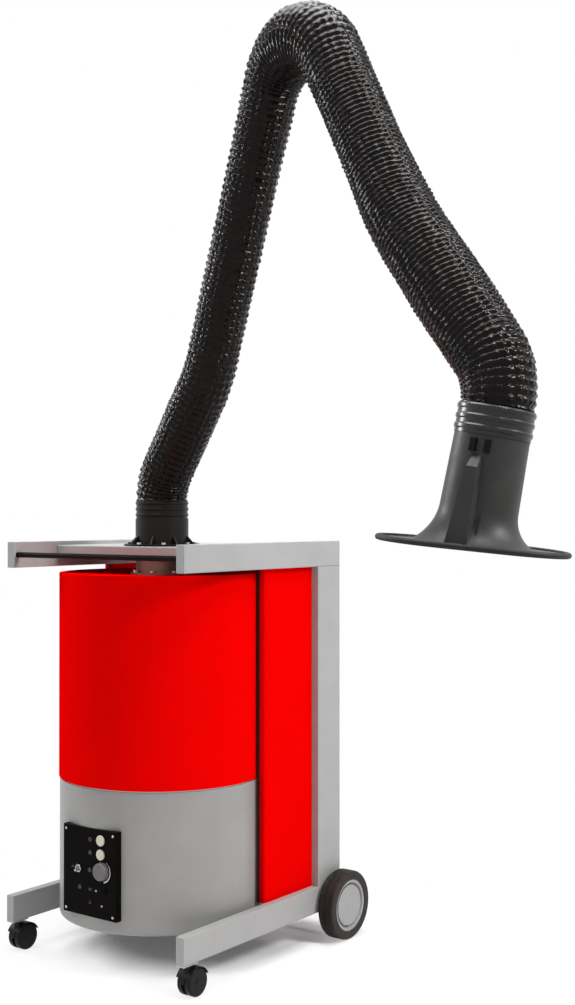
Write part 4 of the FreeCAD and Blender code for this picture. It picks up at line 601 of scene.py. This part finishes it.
def brushed(name, base, roughness, stretch):
    """Metal with fine drawn lines, crowded along the axis whose factor is the largest."""
    material, tree, principled, place = shader(name, base, roughness, metallic=1.0)
    lines = noise(tree, stretched(tree, place, stretch), BRUSH_GRAIN, detail=4.0, rough=0.7)
    tinted(tree, principled, lines, base, shades=(0.8, 1.15))
    glossed(tree, principled, lines, roughness, shares=(0.8, 1.25))
    bumped(tree, principled, lines, BRUSH_RELIEF)
    return material


def moulded(name, base, roughness, spread=0.15, specular=0.3):
    """Moulded plastic with a fine spark-eroded grain and handling marks."""
    material, tree, principled, place = shader(name, base, roughness, specular=specular)
    marks = noise(tree, place, scale=18.0, detail=5.0, rough=0.65)
    tinted(tree, principled, marks, base, shades=(1 - spread, 1 + spread))
    glossed(tree, principled, marks, roughness, shares=(0.85, 1.2))
    bumped(tree, principled, noise(tree, place, PLASTIC_GRAIN, detail=2.0), PLASTIC_RELIEF)
    return material


def coated_cloth(name, base):
    """Glossy coated cloth: cloudy dust on it, and a fine weave under the coat."""
    material, tree, principled, place = shader(name, base, sum(CLOTH_GLOSS) / 2, specular=0.10)
    dust = noise(tree, place, scale=26.0, detail=5.0, rough=0.6)
    tinted(tree, principled, dust, base, shades=(0.7, 1.7))
    link(tree, ranged(tree, dust, *CLOTH_GLOSS), principled.inputs["Roughness"])
    weave = noise(tree, place, WEAVE_GRAIN, detail=4.0, rough=0.6)
    bumped(tree, principled, weave, WEAVE_RELIEF, strength=0.4)
    return material


def rubber(name, base, roughness=0.72, groove=0.0):
    """Dull dusty rubber with a fine grain, or with grooves round it at a spacing across its width."""
    material, tree, principled, place = shader(name, base, roughness, specular=0.2)
    dust = noise(tree, place, scale=40.0, detail=6.0, rough=0.7)
    tinted(tree, principled, dust, base, shades=(0.8, 1.5))
    if groove:
        bands = tree.nodes.new("ShaderNodeTexWave")
        bands.wave_profile = "SIN"
        bands.inputs["Scale"].default_value = WAVE_UNIT / groove
        link(tree, place, bands.inputs["Vector"])
        bumped(tree, principled, bands.outputs["Fac"], GROOVE_RELIEF)
    else:
        bumped(tree, principled, noise(tree, place, RUBBER_GRAIN), RUBBER_RELIEF)
    return material


def dress(material, *nodes):
    """Give CAD nodes one finish."""
    for node in nodes:
        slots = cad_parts[node].data.materials
        slots.clear()
        slots.append(material)


def attach(piece, material):
    """Finish a new piece that the chassis carries."""
    piece.data.materials.append(material)
    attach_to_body(piece, "chassis")


# Operators

class EXTRACTOR_OT_frame(bpy.types.Operator):
    """Paint the box frame, handle bar, top plate and cross bars"""
    bl_idname = "extractor.frame"
    bl_label = "Frame"

    def execute(self, context):
        paints = context.scene.extractor_paints
        grey = paint("frame_paint", paints.frame_grey, roughness=0.42)
        black = paint("bar_paint", scaled(paints.black, 0.6), roughness=0.35, specular=0.04)
        dress(grey, "left_top_beam", "right_top_beam", "left_post", "right_post", "left_base_beam",
              "right_base_beam", "beam_end_caps", "top_plate", "drum_cross_bars")
        dress(black, "handle_bar")
        return {"FINISHED"}


class EXTRACTOR_OT_drum(bpy.types.Operator):
    """Paint the drum, its panels and the pieces inside it, and add its rim and the panels' dark strips of
    painted shade
    """
    bl_idname = "extractor.drum"
    bl_label = "Drum"

    def execute(self, context):
        paints = context.scene.extractor_paints
        red = paint("red_paint", paints.drum_red, roughness=0.38, spread=0.02, specular=0.0)
        grey = paint("drum_paint", paints.drum_grey, roughness=0.45, metallic=0.1)
        dress(red, "filter_housing", "left_side_panel", "right_side_panel")
        low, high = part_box("filter_housing")
        rim = rolled_rim("drum_rim", (high[0] - low[0]) / 2, high[2])
        attach(rim, red)
        # Dark strips on the panels' free edges: painted shade of the gaps between the drum and the panels
        shade_finish = rubber("strip_rubber", paints.painted_shade_dark)
        for name, side in (("left", -1), ("right", 1)):
            low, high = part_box(name + "_side_panel")
            edge = low[0] if side > 0 else high[0]
            strip = painted_shade_strip(name + "_edge_strip", edge, side, low[1], low[2], high[2])
            attach(strip, shade_finish)
        dress(grey, "fan_housing")
        # Dark brownish duct steel: its darkness is partly painted shade of the top plate above the duct
        duct = brushed("duct_steel", paints.duct_steel, roughness=0.45, stretch=(1, 1, 30))
        dress(duct, "inlet_duct")
        steel = brushed("plain_steel", paints.plain_steel, roughness=0.4, stretch=(1, 1, 20))
        dress(steel, "separator_plate", "fan_motor", "fan_impeller")
        dress(rubber("filter_cloth", paints.filter_cloth, roughness=0.9), "filter_cartridge")
        dress(moulded("gland_plastic", paints.black, roughness=0.5), "cable_gland")
        return {"FINISHED"}


class EXTRACTOR_OT_controls(bpy.types.Operator):
    """Finish the control box and add its printed marks"""
    bl_idname = "extractor.controls"
    bl_label = "Controls"

    def execute(self, context):
        paints = context.scene.extractor_paints
        box = moulded("box_plastic", scaled(paints.black, 0.35), roughness=0.45, specular=0.03)
        dress(box, "control_box", "buzzer_cap")
        cream = moulded("button_cream", paints.cream, roughness=0.35, spread=0.04)
        dress(cream, "start_button", "stop_button")
        dress(moulded("knob_grey", paints.knob_grey, roughness=0.4, spread=0.06), "speed_knob")
        metal = brushed("bright_metal", paints.bright_metal, roughness=0.25, stretch=(20, 1, 1))
        dress(metal, "toggle_nut", "toggle_lever", "panel_screws")
        dress(moulded("lamp_lens", paints.lens, roughness=0.2, spread=0.03), "status_lamps")
        dress(moulded("board_green", paints.board, roughness=0.5), "control_board")
        scale = round_path(KNOB_PLACE, SCALE_RADIUS, *SCALE_TURN, SCALE_STEPS)
        band = printed_band(scale, np.linspace(*SCALE_WIDTHS, len(scale)))
        self.printed("knob_scale", [band], paints.print_white, "cream_plastic")
        self.printed("panel_marks", self.marks(), paints.print_grey, "knob_plastic")
        return {"FINISHED"}

    @staticmethod
    def printed(name, bands, ink, slot):
        """Printed piece on the panel."""
        ink_film = moulded(name + "_ink", ink, roughness=0.5, spread=0.08)
        attach(joined_bands(name, bands), ink_film)

    @staticmethod
    def marks():
        """Plain signs beside the controls: barred ring, double ring, fan, pleats, triangle, switch, dot.

        Their points and radii are shares of the size of a mark, from its own place."""
        def stroke(place, *points, closed=False):
            path = [(place[0] + x * MARK_SIZE, place[1] + z * MARK_SIZE) for x, z in points]
            return printed_band(path, MARK_LINE, closed)

        def ring(place, size):
            return printed_band(round_path(place, size * MARK_SIZE), MARK_LINE, closed=True)

        start, stop, fan, pleats, bell, switch, dot = MARK_PLACES
        thirds = [(math.cos(turn), math.sin(turn)) for turn in np.radians((90, 210, 330))]
        bands = [ring(start, 1.0), stroke(start, (0, -0.6), (0, 0.6)), ring(stop, 1.0), ring(stop, 0.45)]
        bands.append(ring(fan, 1.0))
        for c, s in thirds:
            bands.append(stroke(fan, (0.1 * c, 0.1 * s), (0.75 * c - 0.25 * s, 0.75 * s + 0.25 * c)))
        bands.append(stroke(pleats, *((x / 4 - 1, 0.8 * (-1) ** x) for x in range(9))))
        bands.append(stroke(bell, *thirds, closed=True))
        bands += [stroke(switch, (-1, -0.3), (-0.3, -0.3)), stroke(switch, (-0.3, -0.3), (0.5, 0.5)),
                  stroke(switch, (0.5, -0.3), (1, -0.3))]
        bands += [ring(dot, 1.0), ring(dot, 0.3)]
        return bands


class EXTRACTOR_OT_wheels(bpy.types.Operator):
    """Finish the rear wheels, axle and castors"""
    bl_idname = "extractor.wheels"
    bl_label = "Wheels"

    def execute(self, context):
        paints = context.scene.extractor_paints
        tyre = rubber("tyre_rubber", paints.tyre_black, roughness=0.55, groove=TYRE_GROOVE)
        dress(tyre, "left_wheel_tyre", "right_wheel_tyre")
        rim = moulded("rim_grey", paints.rim_grey, roughness=0.45, spread=0.05)
        dress(rim, "left_wheel_rim", "right_wheel_rim")
        cover = moulded("axle_cover", scaled(paints.rim_grey, 0.92), roughness=0.4, spread=0.05)
        dress(cover, "rear_axle")
        plate = brushed("plate_steel", paints.plate_steel, roughness=0.35, stretch=(30, 1, 1))
        dress(plate, "castor_plates")
        black = moulded("castor_black", scaled(paints.black, 0.7), roughness=0.4, specular=0.15)
        dress(black, "left_castor_hood", "right_castor_hood", "left_castor_wheels", "right_castor_wheels")
        return {"FINISHED"}


class EXTRACTOR_OT_arm(bpy.types.Operator):
    """Finish the arm's base, cuff and inner links"""
    bl_idname = "extractor.arm"
    bl_label = "Arm base"

    def execute(self, context):
        paints = context.scene.extractor_paints
        dress(paint("base_paint", paints.black, roughness=0.4, specular=0.15), "arm_base", "swivel_ring")
        dress(moulded("cuff_plastic", paints.black, roughness=0.35, specular=0.14), "base_cuff")
        bolts = brushed("bolt_steel", paints.bolt_steel, roughness=0.3, stretch=(1, 1, 10))
        dress(bolts, "flange_bolts")
        links = brushed("link_steel", paints.link_steel, roughness=0.4, stretch=(1, 1, 20))
        dress(links, "base_fork", "base_pin", "lower_link", "elbow_pin", "upper_link", "hood_pin")
        return {"FINISHED"}


class EXTRACTOR_OT_hose(bpy.types.Operator):
    """Make the ribbed hose in five pieces: the lower and upper runs ride on their arms, the bends stay baked
    in place
    """
    bl_idname = "extractor.hose"
    bl_label = "Hose"

    def execute(self, context):
        sizes = context.scene.extractor_hose
        cloth = coated_cloth("hose_cloth", context.scene.extractor_paints.hose_black)
        skins = {}
        for number, name in enumerate(SPAN_NAMES):
            skin = hose_piece("ribbed_" + name, number, sizes)
            skin.data.materials.append(cloth)
            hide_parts("hose_" + name)
            skins[name] = skin
        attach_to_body(skins["lower"], "lower_arm")
        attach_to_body(skins["upper"], "upper_arm")
        base_ends = [np.array((0.0, 0.0, height)) for height in (HOSE_START, BASE_BLEND_TOP)]
        self.bend(skins["base_bend"], "arm_swivel", "lower_arm", base_ends)
        elbow_ends = [np.array((reach, 0.0, ELBOW_BLEND_HEIGHT)) for reach in ELBOW_BLEND]
        self.bend(skins["elbow"], "lower_arm", "upper_arm", elbow_ends)
        middle = unit(UPPER_WAY + HOOD_WAY)
        hood_ends = [HOOD_PIVOT - middle * HOOD_BLEND[0], HOOD_PIVOT + middle * HOOD_BLEND[1]]
        self.bend(skins["hood_bend"], "upper_arm", "hood_knuckle", hood_ends)
        return {"FINISHED"}

    @staticmethod
    def bend(skin, before, after, ends):
        """Bake the skin's placement into its mesh."""
        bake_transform(skin)


class EXTRACTOR_OT_hood(bpy.types.Operator):
    """Finish the hood, its cuff, rim and grip"""
    bl_idname = "extractor.hood"
    bl_label = "Hood"

    def execute(self, context):
        paints = context.scene.extractor_paints
        dress(moulded("hood_plastic", paints.hood_black, roughness=0.44, specular=0.26), "hood", "hood_grip")
        dress(moulded("hood_cuff_plastic", paints.black, roughness=0.26, specular=0.4), "hood_cuff")
        latch = moulded("latch_plastic", scaled(paints.black, 0.4), roughness=0.35, specular=0.12)
        dress(latch, "hood_latches")
        dress(rubber("rim_rubber", paints.rim_black, roughness=0.55), "hood_rim")
        return {"FINISHED"}


class EXTRACTOR_OT_stage(bpy.types.Operator):
    """Set the camera, the pale floor and the soft light"""
    bl_idname = "extractor.stage"
    bl_label = "Stage"

    def execute(self, context):
        scene = context.scene
        sizes = scene.extractor_stage
        scene.view_settings.view_transform = "Standard"
        lens = bpy.data.cameras.new("camera")
        lens.lens = sizes.lens
        lens.sensor_width = SENSOR
        lens.clip_end = VIEW_END
        a, e = sizes.azimuth, sizes.elevation
        back = np.array((math.sin(a) * math.cos(e), -math.cos(a) * math.cos(e), math.sin(e)))
        scene.camera = self.aimed(scene, "camera", lens, tuple(sizes.camera), back)
        self.floor()
        self.world(scene, sizes.sky)
        for name, (place, target, size) in LAMPS.items():
            lamp = bpy.data.lights.new(name, "AREA")
            lamp.energy = getattr(sizes, name)
            lamp.shape = "RECTANGLE"
            lamp.size, lamp.size_y = size
            self.aimed(scene, name, lamp, place, unit(np.array(place) - np.array(target)))
        return {"FINISHED"}

    @staticmethod
    def aimed(scene, name, data, place, back):
        """Camera or lamp at a place, level, with a direction at its back."""
        right = unit(np.cross((0.0, 0.0, 1.0), back))
        up = np.cross(back, right)
        turn = Matrix(np.stack((right, up, back), 1).tolist()).to_4x4()
        thing = bpy.data.objects.new(name, data)
        thing.matrix_world = Matrix.Translation(place) @ turn
        scene.collection.objects.link(thing)
        return thing

    @staticmethod
    def camera_share(tree):
        """One for rays that see the backdrop directly, in gloss or through glass."""
        rays = tree.nodes.new("ShaderNodeLightPath").outputs
        seen = combined(tree, "MAXIMUM", rays["Is Camera Ray"], rays["Is Glossy Ray"])
        return combined(tree, "MAXIMUM", seen, rays["Is Transmission Ray"])

    @staticmethod
    def faded(tree, place, centre, first, last, most):
        """Share of white that grows smoothly with the distance from a centre."""
        reach = tree.nodes.new("ShaderNodeVectorMath")
        reach.operation = "DISTANCE"
        reach.inputs[1].default_value = centre
        link(tree, place, reach.inputs[0])
        fade = tree.nodes.new("ShaderNodeMapRange")
        fade.interpolation_type = "SMOOTHSTEP"
        fade.inputs["From Min"].default_value = first
        fade.inputs["From Max"].default_value = last
        fade.inputs["To Max"].default_value = most
        link(tree, reach.outputs["Value"], fade.inputs["Value"])
        return fade.outputs["Result"]

    def floor(self):
        """Pale floor that keeps the shadow near the object and looks white further off."""
        corners = np.array(((-1.0, -1.0, 0.0), (1.0, -1.0, 0.0), (1.0, 1.0, 0.0), (-1.0, 1.0, 0.0)))
        floor = mesh_object("floor", corners * FLOOR_HALF, np.array(((0, 1, 2, 3),)), smooth=False)
        material = bpy.data.materials.new("floor_white")
        material.use_nodes = True
        tree = material.node_tree
        tree.nodes.clear()
        seen = self.camera_share(tree)
        diffuse = tree.nodes.new("ShaderNodeBsdfDiffuse")
        diffuse.inputs["Color"].default_value = FLOOR_COLOUR
        lift = tree.nodes.new("ShaderNodeEmission")
        link(tree, combined(tree, "MULTIPLY", seen, FLOOR_LIFT), lift.inputs["Strength"])
        near = tree.nodes.new("ShaderNodeAddShader")
        link(tree, diffuse.outputs["BSDF"], near.inputs[0])
        link(tree, lift.outputs["Emission"], near.inputs[1])
        far = tree.nodes.new("ShaderNodeEmission")
        far.inputs["Strength"].default_value = 1.0
        place = tree.nodes.new("ShaderNodeTexCoord").outputs["Object"]
        fades = (self.faded(tree, place, *fade) for fade in (NEAR_FADE, FAR_FADE))
        white = combined(tree, "MULTIPLY", combined(tree, "MAXIMUM", *fades), seen)
        mix = tree.nodes.new("ShaderNodeMixShader")
        link(tree, white, mix.inputs["Fac"])
        link(tree, near.outputs["Shader"], mix.inputs[1])
        link(tree, far.outputs["Emission"], mix.inputs[2])
        output = tree.nodes.new("ShaderNodeOutputMaterial")
        link(tree, mix.outputs["Shader"], output.inputs["Surface"])
        floor.data.materials.append(material)

    def world(self, scene, strength):
        """Even grey light, seen as white."""
        world = bpy.data.worlds.new("studio")
        world.use_nodes = True
        tree = world.node_tree
        background = tree.nodes["Background"]
        background.inputs["Color"].default_value = (1.0, 1.0, 1.0, 1.0)
        level = tree.nodes.new("ShaderNodeMapRange")
        level.inputs["To Min"].default_value = strength
        level.inputs["To Max"].default_value = 1.0
        link(tree, self.camera_share(tree), level.inputs["Value"])
        link(tree, level.outputs["Result"], background.inputs["Strength"])
        scene.world = world


class EXTRACTOR_PT_panel(bpy.types.Panel):
    """Sizes, colours and operators of the extractor"""
    bl_idname = "EXTRACTOR_PT_panel"
    bl_label = "Fume extractor"
    bl_space_type = "VIEW_3D"
    bl_region_type = "UI"
    bl_category = "Extractor"

    def draw(self, context):
        layout = self.layout
        for group in (getattr(context.scene, name) for name in GROUPS):
            box = layout.box()
            for name in group.bl_rna.properties.keys():
                if name not in {"rna_type", "name"}:
                    box.prop(group, name)
        for operator in OPERATORS:
            layout.operator(operator.bl_idname)


OPERATORS = (EXTRACTOR_OT_stage, EXTRACTOR_OT_frame, EXTRACTOR_OT_drum, EXTRACTOR_OT_controls,
             EXTRACTOR_OT_wheels, EXTRACTOR_OT_arm, EXTRACTOR_OT_hose, EXTRACTOR_OT_hood)
GROUPS = {"extractor_hose": HoseSizes, "extractor_paints": Paints, "extractor_stage": StageSizes}


def register():
    """Add the classes and the scene's property groups."""
    for cls in (*GROUPS.values(), *OPERATORS, EXTRACTOR_PT_panel):
        bpy.utils.register_class(cls)
    for name, cls in GROUPS.items():
        setattr(bpy.types.Scene, name, PointerProperty(type=cls))


def unregister():
    """Take them away again."""
    for name in GROUPS:
        delattr(bpy.types.Scene, name)
    for cls in (EXTRACTOR_PT_panel, *reversed(OPERATORS), *GROUPS.values()):
        bpy.utils.unregister_class(cls)


def main():
    """Dress the whole object."""
    register()
    for operator in OPERATORS:
        group, name = operator.bl_idname.split(".")
        getattr(getattr(bpy.ops, group), name)()


if __name__ == "__main__":
    main()
